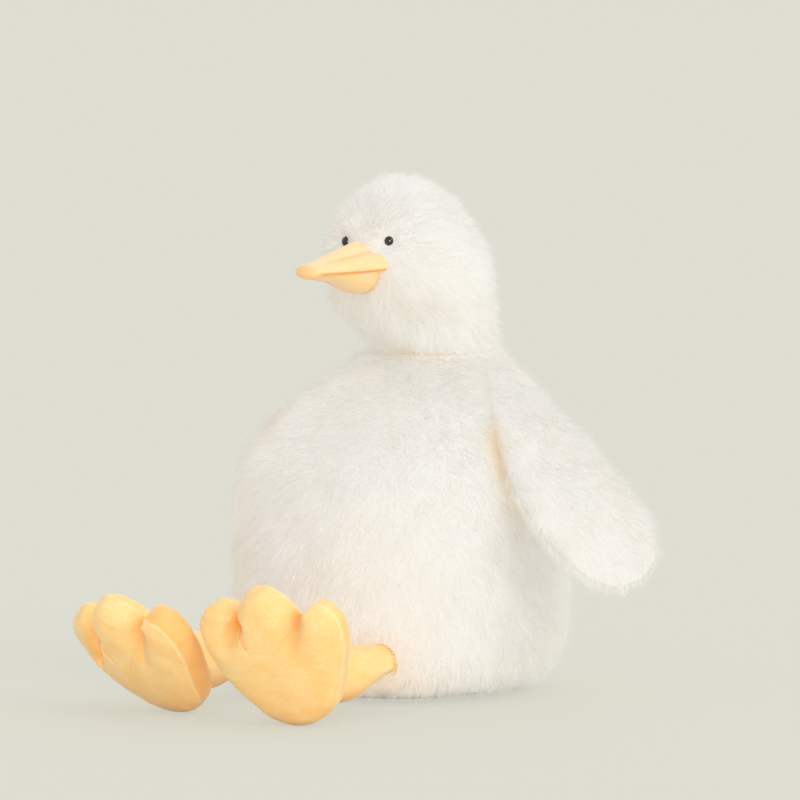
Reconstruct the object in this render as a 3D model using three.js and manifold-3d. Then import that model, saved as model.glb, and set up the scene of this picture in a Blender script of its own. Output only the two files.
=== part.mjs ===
// A seated plush duck: long-pile fur body, head and wings, velboa beak, legs and feet, plastic eyes.
// Millimetres, +Z up. The duck faces -Y and its left side is +X. The origin is the middle of the
// round panel that it sits on. Each skin is a shell around its own filling.

import * as THREE from 'three';
import { ParametricGeometry } from 'three/addons/geometries/ParametricGeometry.js';
import { mergeVertices } from 'three/addons/utils/BufferGeometryUtils.js';
import Module from 'manifold-3d';

const wasm = await Module();
wasm.setup();

// Clearances

const gap = 0.3; // between pieces that touch
const sweepGap = 0.5; // more room, where a form curves or swings
const overrun = 40; // how far a cutting shape runs past what it cuts
const weld = 1e-4; // corners nearer than this are one corner

// Fabrics, through their thickness

const furSkin = 9; // backing and pressed pile
const wingFurSkin = 7;
const velboa = 1.6;

// Body, a pear of revolution whose centre line leans back to the neck

const neckHeight = 230; // floor to the middle of the neck
const neckSetback = 37; // how far the neck stands behind the middle of the base
const bodyRadius = 111;
const baseRadius = 62;
const basePanelThickness = 3;
const skinLift = 0.6; // the skin's lower edge stays off the floor
const bodyShares = [ // height over neckHeight, radius over bodyRadius
	[0, 0.5], [0.004, 0.61], [0.022, 0.76], [0.062, 0.885], [0.12, 0.955], [0.2, 0.99], [0.32, 1.0],
	[0.45, 1.0], [0.58, 0.985], [0.68, 0.925], [0.77, 0.82], [0.86, 0.68], [0.935, 0.49],
	[0.985, 0.365], [1.02, 0.3], [1.05, 0],
];
const leanShares = [ // height over neckHeight, setback over neckSetback
	[-0.2, 0], [0, 0], [0.43, 0], [0.62, 0.13], [0.7, 0.25], [0.79, 0.43], [0.87, 0.63], [0.945, 0.86],
	[1, 1],
];

// Pellet bag, a flat round cushion in the bottom of the body

const pelletRadius = 56;
const pelletHeight = 26;

// Neck, a ball of filling that the body and the head turn on

const neckBallRadius = 33;
const nodLimit = 14; // degrees that the head nods either way
const nodSpare = 1; // degrees that each rim stays short of the other at the limit
const neckOpening = nodLimit / 2 + nodSpare; // degrees from level to the rim of each skin

// Head, an egg whose lower end runs into the neck

const headHeight = 112; // middle of the neck to the crown
const headRadius = 55.5;
const headShares = [ // height over headHeight, radius over headRadius
	[-0.12, 0], [-0.09, 0.55], [0, 0.7], [0.15, 0.87], [0.32, 0.985], [0.46, 1.0], [0.58, 0.965],
	[0.7, 0.875], [0.8, 0.75], [0.89, 0.57], [0.96, 0.35], [1, 0],
];
const headLeanShares = [ // height over headHeight, setback over neckSetback
	[-0.2, 1], [0, 1], [0.08, 0.84], [0.15, 0.62], [0.25, 0.38], [0.33, 0.27], [0.46, 0.19],
	[0.58, 0.11], [0.7, 0.03], [1, 0],
];

// Eyes, a dome on a shank that a washer locks behind the fabric

const eyeRadius = 4;
const eyeHeight = 73.5; // above the middle of the neck
const eyeBearing = 23.6; // degrees to each side of straight ahead
const eyeReach = 43; // from the upright axis of the head at the eyes
const eyeSetback = 3; // how far that axis stands behind the middle of the base
const shankRadius = 1.8;
const shankLength = 14;
const washerRadius = 7;
const washerThickness = 2;
const washerStandoff = 10; // from the centre of the eye back to the washer

// Beak: both halves start inside the face and run forward

const beakRoot = 28; // where the halves start, ahead of the origin
const mouthHeight = 56; // above the middle of the neck
const upperBeakLength = 75;
const upperBeakHalfWidth = 23;
const upperBeakRise = 20;
const upperBeakDrop = 3.5;
const upperBeakShares = [ // place over length, then shares of half width, rise and drop
	[0, 0.9, 0.9, 1], [0.12, 0.98, 1, 1], [0.26, 1, 0.98, 1], [0.42, 0.92, 0.8, 1],
	[0.58, 0.76, 0.62, 1.1], [0.74, 0.62, 0.47, 1.3], [0.88, 0.5, 0.36, 1.4],
	[0.96, 0.33, 0.22, 1], [1, 0, 0, 0],
];
const lowerBeakLength = 60;
const lowerBeakHalfWidth = 18.5;
const lowerBeakDrop = 17;
const lowerBeakRise = 4;
const lowerBeakShares = [
	[0, 0.9, 1, 0.85], [0.15, 1, 1, 1], [0.35, 1, 1, 1], [0.55, 0.88, 1, 0.84], [0.75, 0.68, 0.9, 0.62],
	[0.9, 0.46, 0.7, 0.42], [0.97, 0.26, 0.4, 0.24], [1, 0, 0, 0],
];

// Wings, flat flaps that hang from the shoulders

// Each middle line runs from inside the body through the seam to the tip, +X out to its own side:
// x and y over bodyRadius, height over neckHeight.
const leftWingLineShares = [
	[0.3423, 0.2613, 1.0043], [0.5315, 0.2162, 0.9217], [1.1351, 0.1081, 0.6478], [1.6667, 0.1982, 0.3565],
];
const rightWingLineShares = [
	[0.3243, 0.3063, 0.9739], [0.5045, 0.2703, 0.8957], [1.1081, 0.1441, 0.6348], [1.3694, 0.4324, 0.3565],
];
const rootAcross = new THREE.Vector3(0.05, 0.99, -0.14); // across the flap at the seam and at the tip
const tipAcross = new THREE.Vector3(0.35, 0.85, 0.39);
const wingHalfWidth = 40;
const wingHalfThickness = 15.5;
const wingShares = [ // place from root to tip, then shares of half width and half thickness
	[0, 0.6, 0.6], [0.1, 0.69, 0.7], [0.25, 0.81, 0.87], [0.44, 0.95, 1], [0.65, 1, 0.95],
	[0.8, 0.93, 0.82], [0.91, 0.7, 0.6], [0.975, 0.38, 0.33], [1, 0, 0],
];
const wingRise = 65; // degrees that a wing lifts from rest

// Legs, short tubes from the hips to the backs of the feet

const hipShares = [0.5432, -0.8982]; // x and y of the left hip ball's centre over bodyRadius
const hipHeight = 26;
const hipRadius = 13;
const ankleSpread = 51.5; // from the middle of the duck out to the ankle ball's centre
const ankleReach = 53; // ahead of the body
const ankleHeight = 37;
const ankleRadius = 18.5;
const seamOpening = 0.6; // the hole at each end of a leg cover, as a share of its hip ball

// Feet, three-toed pillows that stand on their heels

const heelSpread = 49; // where a foot's frame stands, and its rim starts
const heelReach = 68; // ahead of the body
const footLength = 97;
const footHalfWidth = 58;
const footHalfThickness = 19;
const leftFootLean = 20; // degrees that the toes lean forward
const rightFootLean = 38;
const rightFootSetback = 6; // how much further back the right foot stands than the left one
const footRoll = 1; // degrees that the toes lean outward
const footSplay = 8; // degrees that the sole turns outward
const footCentreShare = 0.45; // middle of the pillow over footLength
const edgeFullness = 0.8; // below 1 the pillow is fuller than an oval, toward its edge
const faceFullness = 0.75; // and toward the middles of its two faces
const footRimShares = [ // across over footHalfWidth, height over footLength; both feet are cut alike
	[0.2, 0], [0.46, 0.04], [0.72, 0.17], [0.88, 0.38], [0.99, 0.61], [1.0, 0.79], [0.88, 0.91],
	[0.68, 0.93], [0.46, 0.81], [0.35, 0.87], [0.2, 0.96], [0.02, 1.0], [-0.17, 0.95], [-0.28, 0.85],
	[-0.32, 0.75], [-0.42, 0.83], [-0.58, 0.86], [-0.78, 0.81], [-0.89, 0.71], [-0.88, 0.6],
	[-0.76, 0.44], [-0.58, 0.29], [-0.36, 0.16], [-0.1, 0.04],
];

// Mesh density

const roundSides = 28;
const roundSteps = 16;
const innerSides = 16;
const innerSteps = 10;
const limbSides = 16;
const limbSteps = 12;
const innerLimbSides = 10;
const innerLimbSteps = 7;
const smallSides = 12;
const neckSides = 28;
const rimSides = 40;
const innerRimSides = 26;
const pillowSteps = 8;
const arcSteps = 4;
const bagSteps = 6;
const eyeSteps = 8;
const sweepSteps = 4;
const curveSteps = 8; // samples of a smooth curve for each of its rows

const degrees = THREE.MathUtils.degToRad;
const upright = new THREE.Vector3(0, 0, 1);

// Solids

// A closed geometry as a solid: shared vertices merged, collapsed faces dropped, faces turned out.
function solid(geometry) {
	const bare = geometry.clone();
	bare.deleteAttribute('normal');
	bare.deleteAttribute('uv');
	const merged = mergeVertices(bare, weld);
	const corners = merged.attributes.position.array;
	const faces = [];
	for (let i = 0; i < merged.index.count; i += 3) {
		const [a, b, c] = merged.index.array.slice(i, i + 3);
		if (a !== b && b !== c && c !== a) faces.push(a, b, c);
	}
	if (signedVolume(corners, faces) < 0) faces.reverse();
	return new wasm.Manifold(new wasm.Mesh({
		numProp: 3,
		vertProperties: new Float32Array(corners),
		triVerts: new Uint32Array(faces),
	}));
}

function signedVolume(corners, faces) {
	const [a, b, c] = [new THREE.Vector3(), new THREE.Vector3(), new THREE.Vector3()];
	let total = 0;
	for (let i = 0; i < faces.length; i += 3) {
		a.fromArray(corners, faces[i] * 3);
		b.fromArray(corners, faces[i + 1] * 3);
		c.fromArray(corners, faces[i + 2] * 3);
		total += a.dot(b.cross(c));
	}
	return total;
}

function without(form, ...cuts) {
	return cuts.reduce((left, cut) => left.subtract(cut), form);
}

// A smooth curve through rows of [place, value], read by place.
function byPlace(rows, placeScale, valueScale) {
	const points = rows.map(([place, value]) => new THREE.Vector2(place * placeScale, value * valueScale));
	const curve = new THREE.SplineCurve(points);
	const samples = curve.getPoints(rows.length * curveSteps);
	return (place) => {
		const next = samples.findIndex((point) => point.x >= place);
		if (next < 0) return samples[samples.length - 1].y;
		if (next === 0) return samples[0].y;
		const [before, after] = [samples[next - 1], samples[next]];
		return THREE.MathUtils.mapLinear(place, before.x, after.x, before.y, after.y);
	};
}

// A form of revolution whose centre line leans: rows of [height, radius] moved out by offset along
// their own normal, each ring set back by lean(height).
function leaningForm(rows, heightScale, radiusScale, lean, base, offset, sides, steps) {
	const points = rows.map(([h, r]) => new THREE.Vector2(r * radiusScale, base + h * heightScale));
	const curve = new THREE.SplineCurve([new THREE.Vector2(0, points[0].y), ...points]);
	return solid(new ParametricGeometry((u, v, target) => {
		const point = curve.getPoint(v);
		const tangent = curve.getTangent(v);
		const radius = v === 0 || v === 1 ? 0 : Math.max(point.x + offset * tangent.y, 0);
		const height = point.y - offset * (v === 0 ? 1 : v === 1 ? -1 : tangent.x);
		const turn = u * Math.PI * 2;
		target.set(radius * Math.cos(turn), lean(height) + radius * Math.sin(turn), height);
	}, sides, steps));
}

function bodyForm(offset, sides, steps) {
	const lean = byPlace(leanShares, neckHeight, neckSetback);
	return leaningForm(bodyShares, neckHeight, bodyRadius, lean, 0, offset, sides, steps);
}

function headForm(offset, sides, steps) {
	const setback = byPlace(headLeanShares, headHeight, neckSetback);
	const lean = (height) => setback(height - neckHeight);
	return leaningForm(headShares, headHeight, headRadius, lean, neckHeight, offset, sides, steps);
}

// A profile of [radius, height] turned about an axis that starts at a point.
function turned(profile, start, axis, sides) {
	const geometry = new THREE.LatheGeometry(profile.map(([r, h]) => new THREE.Vector2(r, h)), sides);
	const latheAxis = new THREE.Vector3(0, 1, 0);
	geometry.applyQuaternion(new THREE.Quaternion().setFromUnitVectors(latheAxis, axis.clone().normalize()));
	geometry.translate(start.x, start.y, start.z);
	return solid(geometry);
}

function ball(centre, radius, sides) {
	const geometry = new THREE.SphereGeometry(radius, sides, sides / 2);
	geometry.rotateX(Math.PI / 2);
	geometry.translate(centre.x, centre.y, centre.z);
	return solid(geometry);
}

// The room for a ball: wide enough that its flat facets clear the ball at every turn.
function seat(centre, radius, sides) {
	return ball(centre, (radius + gap) / Math.cos(Math.PI / sides) ** 2, sides);
}

// A limb lofted along its length. Its rows are [place, half width, rise, drop] as shares of the length
// and the three sizes, and place(along, wide, high, target) puts a point of a section in space.
function lofted(rows, length, sizes, offset, place, sides, steps) {
	const [widthRows, riseRows, dropRows] = [1, 2, 3].map((column) => rows.map((row) => (
		new THREE.Vector2(row[0] * length, row[column] * sizes[column - 1])
	)));
	const curves = [widthRows, riseRows, dropRows].map((row) => new THREE.SplineCurve(row));
	const total = rows.length;
	return solid(new ParametricGeometry((u, v, target) => {
		const onCap = v * total < 1;
		const share = Math.max((v * total - 1) / (total - 1), 0);
		const [wide, rise, drop] = curves.map((curve) => curve.getPoint(share));
		const scale = onCap ? v * total : 1;
		const tip = share === 1 ? 0 : 1;
		const along = wide.x + offset * (onCap && share === 0 ? -1 : share ** 3);
		const turn = u * Math.PI * 2;
		const high = Math.sin(turn) > 0 ? rise.y : drop.y;
		const half = movedOut(wide.y, offset) * scale * tip;
		const thick = movedOut(high, offset) * scale * tip;
		place(along, half * Math.cos(turn), thick * Math.sin(turn), target);
	}, sides, steps));
}

// Half a section's size moved out by offset, or in by it, which eases off where the form is thin.
function movedOut(half, offset) {
	if (half <= 0) return 0;
	return offset < 0 ? half * half / (half - offset) : half + offset;
}

// What a carrier takes away from a limb that lifts on an axis through a pivot.
function swept(carrier, pivot, axis, lift) {
	let taken = carrier;
	for (let i = 1; i <= sweepSteps; i += 1) {
		taken = taken.add(moved(carrier, pivot, axis, -degrees(lift) * i / sweepSteps));
	}
	return taken;
}

function moved(form, pivot, axis, angle) {
	const matrix = new THREE.Matrix4().makeTranslation(pivot.x, pivot.y, pivot.z)
		.multiply(new THREE.Matrix4().makeRotationAxis(axis.clone().normalize(), angle))
		.multiply(new THREE.Matrix4().makeTranslation(-pivot.x, -pivot.y, -pivot.z));
	return solid(geometryOf(form).applyMatrix4(matrix));
}

function geometryOf(form) {
	const mesh = form.getMesh();
	const geometry = new THREE.BufferGeometry();
	geometry.setAttribute('position', new THREE.Float32BufferAttribute(mesh.vertProperties, 3));
	geometry.setIndex(Array.from(mesh.triVerts));
	return geometry;
}

// Materials

const materials = {
	fur: new THREE.MeshStandardMaterial({ color: 0xf1efe6, roughness: 0.95, metalness: 0 }),
	filling: new THREE.MeshStandardMaterial({ color: 0xf7f7f4, roughness: 1, metalness: 0 }),
	pellets: new THREE.MeshStandardMaterial({ color: 0xdedbd0, roughness: 0.9, metalness: 0 }),
	beak: new THREE.MeshStandardMaterial({ color: 0xf9d69c, roughness: 0.85, metalness: 0 }),
	feet: new THREE.MeshStandardMaterial({ color: 0xfccf8b, roughness: 0.85, metalness: 0 }),
	eye: new THREE.MeshStandardMaterial({ color: 0x0d0c0c, roughness: 0.15, metalness: 0 }),
	washer: new THREE.MeshStandardMaterial({ color: 0xe9e9e6, roughness: 0.5, metalness: 0 }),
};

// A named piece in a group that stands at a joint.
function piece(name, form, material, group) {
	const place = new THREE.Vector3();
	group.updateWorldMatrix(true, false);
	group.getWorldPosition(place);
	const geometry = geometryOf(form);
	geometry.translate(-place.x, -place.y, -place.z);
	geometry.computeVertexNormals();
	const mesh = new THREE.Mesh(geometry, material);
	mesh.name = name;
	group.add(mesh);
}

function groupAt(parent, place) {
	const group = new THREE.Group();
	const origin = new THREE.Vector3();
	parent.updateWorldMatrix(true, false);
	parent.getWorldPosition(origin);
	group.position.copy(place).sub(origin);
	parent.add(group);
	return group;
}

function mirrored(point, side) {
	return new THREE.Vector3(point.x * side, point.y, point.z);
}

// Neck: the skins part along two cones whose points meet in the middle of the ball

const neck = new THREE.Vector3(0, neckSetback, neckHeight);
const coneReach = bodyRadius + overrun;
const coneRise = coneReach * Math.tan(degrees(neckOpening));

function beyondCone(direction) {
	const top = coneReach + overrun;
	const profile = [[0, 0], [coneReach, coneRise], [coneReach, top], [0, top]];
	return turned(profile, neck, upright.clone().multiplyScalar(direction), roundSides);
}

// Torso

function makeTorso(group, hipBalls) {
	const aboveNeck = without(slab(neckHeight - overrun, neckHeight * 2), beyondCone(-1));
	const neckSeat = seat(neck, neckBallRadius, neckSides);
	const panelSeat = disc(baseRadius + gap, -overrun, overrun);
	const floor = slab(-neckHeight, skinLift);
	const outer = bodyForm(0, roundSides, roundSteps);
	const inner = bodyForm(-furSkin, innerSides, innerSteps);
	const skin = without(outer, inner, aboveNeck, neckSeat, panelSeat, floor, ...hipBalls);
	piece('body_skin', skin, materials.fur, group);
	piece('base_panel', disc(baseRadius, 0, basePanelThickness), materials.fur, group);
	piece('pellet_bag', pelletForm(0), materials.pellets, group);

	const filling = bodyForm(-furSkin - gap, innerSides, innerSteps);
	const underFilling = slab(-neckHeight, basePanelThickness + gap);
	piece('body_filling', without(filling, aboveNeck, neckSeat, underFilling, pelletForm(gap)),
		materials.filling, group);
}

// A round plate on the upright axis of the base.
function disc(radius, low, high) {
	const profile = [[0, low], [radius, low], [radius, high], [0, high]];
	return turned(profile, new THREE.Vector3(), upright, roundSides);
}

// A round cushion that lies on the base panel, moved out by offset.
function pelletForm(offset) {
	const round = pelletHeight / 2;
	const middle = basePanelThickness + gap + round;
	const profile = [[0, middle - round - offset]];
	for (let i = 0; i <= bagSteps; i += 1) {
		const angle = degrees(THREE.MathUtils.lerp(-90, 90, i / bagSteps));
		profile.push([
			pelletRadius - round + (round + offset) * Math.cos(angle),
			middle + (round + offset) * Math.sin(angle),
		]);
	}
	profile.push([0, middle + round + offset]);
	return turned(profile, new THREE.Vector3(), upright, innerSides);
}

// A level slab wider than the duck, from one height to another.
function slab(low, high) {
	const side = (bodyRadius + overrun) * 2;
	const geometry = new THREE.BoxGeometry(side, side, high - low);
	geometry.translate(0, 0, (low + high) / 2);
	return solid(geometry);
}

// Neck ball

function makeNeck(group) {
	piece('neck_filling', ball(neck, neckBallRadius, neckSides), materials.filling, group);
}

// Head

function eyeCentre(side) {
	const bearing = degrees(eyeBearing);
	return new THREE.Vector3(
		side * eyeReach * Math.sin(bearing), eyeSetback - eyeReach * Math.cos(bearing), neckHeight + eyeHeight,
	);
}

function eyeAxis(side) {
	const bearing = degrees(eyeBearing);
	return new THREE.Vector3(side * Math.sin(bearing), -Math.cos(bearing), 0);
}

function eyeForm(side, offset) {
	const [dome, shank] = [eyeRadius + offset, shankRadius + offset];
	const profile = [[0, -shankLength - offset], [shank, -shankLength - offset]];
	for (let i = 0; i <= eyeSteps; i += 1) {
		const angle = THREE.MathUtils.lerp(-Math.acos(shank / dome), Math.PI / 2, i / eyeSteps);
		profile.push([i === eyeSteps ? 0 : dome * Math.cos(angle), dome * Math.sin(angle)]);
	}
	return turned(profile, eyeCentre(side), eyeAxis(side), smallSides);
}

// The room for an eye and its shank, open to the front.
function eyeWell(side) {
	const radius = eyeRadius + gap;
	const profile = [[0, 0], [radius, 0], [radius, overrun], [0, overrun]];
	return eyeForm(side, gap).add(turned(profile, eyeCentre(side), eyeAxis(side), smallSides));
}

function washerForm(side, offset) {
	const back = -washerStandoff - washerThickness - offset;
	const front = -washerStandoff + offset;
	const bore = shankRadius + gap - offset;
	const rim = washerRadius + offset;
	const profile = [[bore, back], [rim, back], [rim, front], [bore, front], [bore, back]];
	return turned(profile, eyeCentre(side), eyeAxis(side), smallSides);
}

function beakForm(rows, length, halfWidth, rise, drop, offset) {
	const place = (along, wide, high, target) => {
		target.set(wide, -beakRoot - along, neckHeight + mouthHeight + high);
	};
	return lofted(rows, length, [halfWidth, rise, drop], offset, place, smallSides, limbSteps);
}

function upperBeak(offset) {
	return beakForm(upperBeakShares, upperBeakLength, upperBeakHalfWidth, upperBeakRise, upperBeakDrop, offset);
}

function lowerBeak(offset) {
	return beakForm(lowerBeakShares, lowerBeakLength, lowerBeakHalfWidth, lowerBeakRise, lowerBeakDrop, offset);
}

function makeHead(group) {
	const belowNeck = without(slab(neckHeight - neckBallRadius * 2, neckHeight + overrun), beyondCone(1));
	const neckSeat = seat(neck, neckBallRadius, neckSides);
	const outer = headForm(0, roundSides, roundSteps);
	const inner = headForm(-furSkin, innerSides, innerSteps);
	const wells = [1, -1].map((side) => eyeWell(side));
	piece('head_skin', without(outer, inner, belowNeck, neckSeat, ...wells), materials.fur, group);

	const filling = headForm(-furSkin - gap, innerSides, innerSteps);
	const washers = [1, -1].map((side) => washerForm(side, gap));
	piece('head_filling', without(filling, belowNeck, neckSeat, ...wells, ...washers),
		materials.filling, group);

	for (const [label, side] of sides) {
		piece(`${label}_eye`, eyeForm(side, 0), materials.eye, group);
		piece(`${label}_eye_washer`, washerForm(side, 0), materials.washer, group);
	}

	const face = headForm(gap, roundSides, roundSteps);
	piece('upper_beak_cover', without(upperBeak(0), face, upperBeak(-velboa)), materials.beak, group);
	piece('upper_beak_filling', without(upperBeak(-velboa - gap), face), materials.filling, group);

	const lowerHollow = without(lowerBeak(-velboa), upperBeak(gap + velboa));
	const lowerFilling = without(lowerBeak(-velboa - gap), face, upperBeak(gap + velboa + gap));
	const lowerCover = without(lowerBeak(0), face, upperBeak(gap), lowerHollow);
	piece('lower_beak_cover', lowerCover, materials.beak, group);
	piece('lower_beak_filling', lowerFilling, materials.filling, group);
}

// Wings

// The points of a wing's middle line. The second is the middle of its seam, where it hinges.
function wingLine(side) {
	return (side > 0 ? leftWingLineShares : rightWingLineShares).map(([x, y, height]) => (
		new THREE.Vector3(x * bodyRadius * side, y * bodyRadius, height * neckHeight)
	));
}

function shoulder(side) {
	return wingLine(side)[1];
}

// A flap whose sections follow a curved middle line and turn evenly from the seam to the tip.
function wingForm(side, offset) {
	const line = new THREE.CatmullRomCurve3(wingLine(side), false, 'centripetal');
	const length = line.getLength();
	const ends = [rootAcross, tipAcross].map((end) => mirrored(end, side));
	const place = (reach, width, thickness, target) => {
		const share = THREE.MathUtils.clamp(reach / length, 0, 1);
		const along = line.getTangentAt(share);
		const wide = ends[0].clone().lerp(ends[1], share);
		wide.addScaledVector(along, -wide.dot(along)).normalize();
		const thick = along.clone().cross(wide);
		target.copy(line.getPointAt(share)).addScaledVector(along, reach - share * length)
			.addScaledVector(wide, width).addScaledVector(thick, thickness);
	};
	const rows = wingShares.map(([at, width, thickness]) => [at, width, thickness, thickness]);
	const sizes = [wingHalfWidth, wingHalfThickness, wingHalfThickness];
	const [around, steps] = offset < 0 ? [innerLimbSides, innerLimbSteps] : [limbSides, limbSteps];
	return lofted(rows, length, sizes, offset, place, around, steps);
}

// The axis that lifts a wing outward and up, along its seam.
function wingAxis(side) {
	const seam = rootAcross.clone().normalize();
	return new THREE.Vector3(-seam.x, -seam.y * side, -seam.z * side);
}

function makeWing(label, side, group) {
	const room = (spare) => (
		swept(bodyForm(spare, roundSides, roundSteps), shoulder(side), wingAxis(side), wingRise)
	);
	const skin = without(wingForm(side, 0), wingForm(side, -wingFurSkin), room(gap));
	const filling = without(wingForm(side, -wingFurSkin - gap - sweepGap), room(gap + sweepGap));
	piece(`${label}_wing_skin`, skin, materials.fur, group);
	piece(`${label}_wing_filling`, filling, materials.filling, group);
}

// Legs

const hip = new THREE.Vector3(hipShares[0] * bodyRadius, hipShares[1] * bodyRadius, hipHeight);
const ankle = new THREE.Vector3(ankleSpread, -bodyRadius - ankleReach, ankleHeight);

// A tube with round ends between two balls, moved out by offset.
function legForm(side, offset) {
	const [start, end] = [mirrored(hip, side), mirrored(ankle, side)];
	const length = start.distanceTo(end);
	const profile = [];
	for (let i = 0; i <= arcSteps; i += 1) {
		const angle = degrees(THREE.MathUtils.lerp(-90, 0, i / arcSteps));
		const radius = hipRadius + offset;
		profile.push([i === 0 ? 0 : radius * Math.cos(angle), radius * Math.sin(angle)]);
	}
	for (let i = 0; i <= arcSteps; i += 1) {
		const angle = degrees(THREE.MathUtils.lerp(0, 90, i / arcSteps));
		const radius = ankleRadius + offset;
		profile.push([i === arcSteps ? 0 : radius * Math.cos(angle), length + radius * Math.sin(angle)]);
	}
	return turned(profile, start, end.clone().sub(start), limbSides);
}

function makeLeg(label, side, group) {
	const [start, end] = [mirrored(hip, side), mirrored(ankle, side)];
	const along = end.clone().sub(start);
	const hole = hipRadius * seamOpening;
	const [low, high] = [-overrun, along.length() + overrun];
	const through = turned([[0, low], [hole, low], [hole, high], [0, high]], start, along, limbSides);
	const cover = without(legForm(side, 0), legForm(side, -velboa), through);
	piece(`${label}_leg_cover`, cover, materials.feet, group);
	piece(`${label}_leg_filling`, legForm(side, -velboa - gap), materials.filling, group);
}

// Feet

// A pillow on the rim of three toes: at each point of the rim, a full half oval from the middle of
// the sole over the rim to the middle of the top.
function footForm(side, offset) {
	const points = footRimShares.map(([x, z]) => new THREE.Vector3(x * footHalfWidth, 0, z * footLength));
	const rim = new THREE.CatmullRomCurve3(points, true, 'centripetal');
	const centre = new THREE.Vector3(0, 0, footLength * footCentreShare);
	const geometry = new ParametricGeometry((u, v, target) => {
		const edge = rim.getPointAt(u % 1).sub(centre);
		const reach = edge.length();
		const turn = v * Math.PI;
		const spread = v === 0 || v === 1 ? 0 : Math.sin(turn) ** edgeFullness;
		const high = Math.abs(Math.cos(turn)) ** faceFullness * Math.sign(Math.cos(turn));
		target.copy(centre).addScaledVector(edge, spread * (reach + offset) / reach);
		target.y = -high * (footHalfThickness + offset);
	}, offset < 0 ? innerRimSides : rimSides, pillowSteps);
	return placeFoot(geometry, side);
}

// Stands a foot's own frame at its heel: leaned forward, then rolled and splayed to its own side.
function placeFoot(geometry, side) {
	geometry.rotateX(degrees(side > 0 ? leftFootLean : rightFootLean));
	geometry.rotateY(degrees(footRoll * side));
	geometry.rotateZ(degrees(footSplay * side));
	geometry.translate(heelSpread * side, (side > 0 ? 0 : rightFootSetback) - bodyRadius - heelReach, 0);
	return geometry;
}

// How far a foot is raised for its lowest point to touch the floor.
function footRise(side) {
	const geometry = footForm(side, 0);
	geometry.computeBoundingBox();
	return -geometry.boundingBox.min.z;
}

// Half of the foot's space, ahead of its middle plane or behind it.
function footHalf(side, front) {
	const size = footLength * 2;
	const geometry = new THREE.BoxGeometry(size, size, size);
	geometry.translate(0, front * (size + gap) / 2, 0);
	return placeFoot(geometry, side);
}

function makeFoot(label, side, group) {
	const ankleSeat = seat(mirrored(ankle, side), ankleRadius, limbSides);
	const rise = footRise(side);
	const raised = (geometry) => solid(geometry.translate(0, 0, rise));
	const shell = without(raised(footForm(side, 0)), raised(footForm(side, -velboa)), ankleSeat);
	const filling = without(raised(footForm(side, -velboa - gap)), ankleSeat);
	piece(`${label}_foot_sole`, shell.intersect(raised(footHalf(side, -1))), materials.feet, group);
	piece(`${label}_foot_top`, shell.intersect(raised(footHalf(side, 1))), materials.feet, group);
	piece(`${label}_foot_filling`, filling, materials.filling, group);
}

// The duck

const duck = new THREE.Group();
const sides = [['left', 1], ['right', -1]];
const hipBalls = sides.map(([, side]) => seat(mirrored(hip, side), hipRadius, limbSides));
const torso = groupAt(duck, new THREE.Vector3());
makeTorso(torso, hipBalls);
makeNeck(groupAt(torso, neck));
makeHead(groupAt(torso, neck));
for (const [label, side] of sides) {
	makeWing(label, side, groupAt(torso, shoulder(side)));
	const leg = groupAt(torso, mirrored(hip, side));
	makeLeg(label, side, leg);
	makeFoot(label, side, groupAt(leg, mirrored(ankle, side)));
}

export default duck;
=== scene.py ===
"""A seated plush duck: long-pile fur over stuffed forms, velboa beak, legs and feet, plastic eyes.

Every piece is laid out in millimetres, in the frame of the solids that it stands for, and written to
its mesh in metres. The duck faces -Y, its left side is +X and the floor is z = 0.
"""

import bpy
import numpy as np
from bpy.props import FloatProperty, FloatVectorProperty, IntProperty, PointerProperty
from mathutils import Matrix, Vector


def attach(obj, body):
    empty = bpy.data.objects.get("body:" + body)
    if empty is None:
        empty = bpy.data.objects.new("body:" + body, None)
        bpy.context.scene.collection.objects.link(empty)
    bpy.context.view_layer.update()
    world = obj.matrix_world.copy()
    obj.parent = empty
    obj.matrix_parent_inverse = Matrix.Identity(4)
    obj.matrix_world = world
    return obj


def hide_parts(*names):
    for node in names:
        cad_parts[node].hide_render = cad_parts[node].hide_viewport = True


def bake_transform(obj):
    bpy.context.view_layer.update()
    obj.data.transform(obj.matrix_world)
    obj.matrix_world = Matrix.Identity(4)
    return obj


bl_info = {
    "name": "Seated plush duck",
    "version": (1, 0, 0),
    "blender": (4, 5, 0),
    "location": "View3D > Sidebar > Plush",
    "description": "Builds the fur, velboa, eyes and stage of a seated plush duck",
    "category": "Object",
}

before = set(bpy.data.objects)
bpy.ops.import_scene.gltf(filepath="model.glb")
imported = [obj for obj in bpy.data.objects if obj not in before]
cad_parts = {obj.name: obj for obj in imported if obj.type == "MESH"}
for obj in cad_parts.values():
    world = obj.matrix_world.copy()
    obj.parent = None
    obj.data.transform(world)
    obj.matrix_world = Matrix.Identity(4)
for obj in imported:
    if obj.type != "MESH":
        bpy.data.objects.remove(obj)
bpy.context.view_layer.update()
SIDES = (("left", 1), ("right", -1))
UP = np.array([0, 0, 1.0])

# Forms, in millimetres

NECK = np.array([0.0, 37.0, 230.0])
NECK_BALL = 33.4
NECK_ROOM = 35.8

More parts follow.
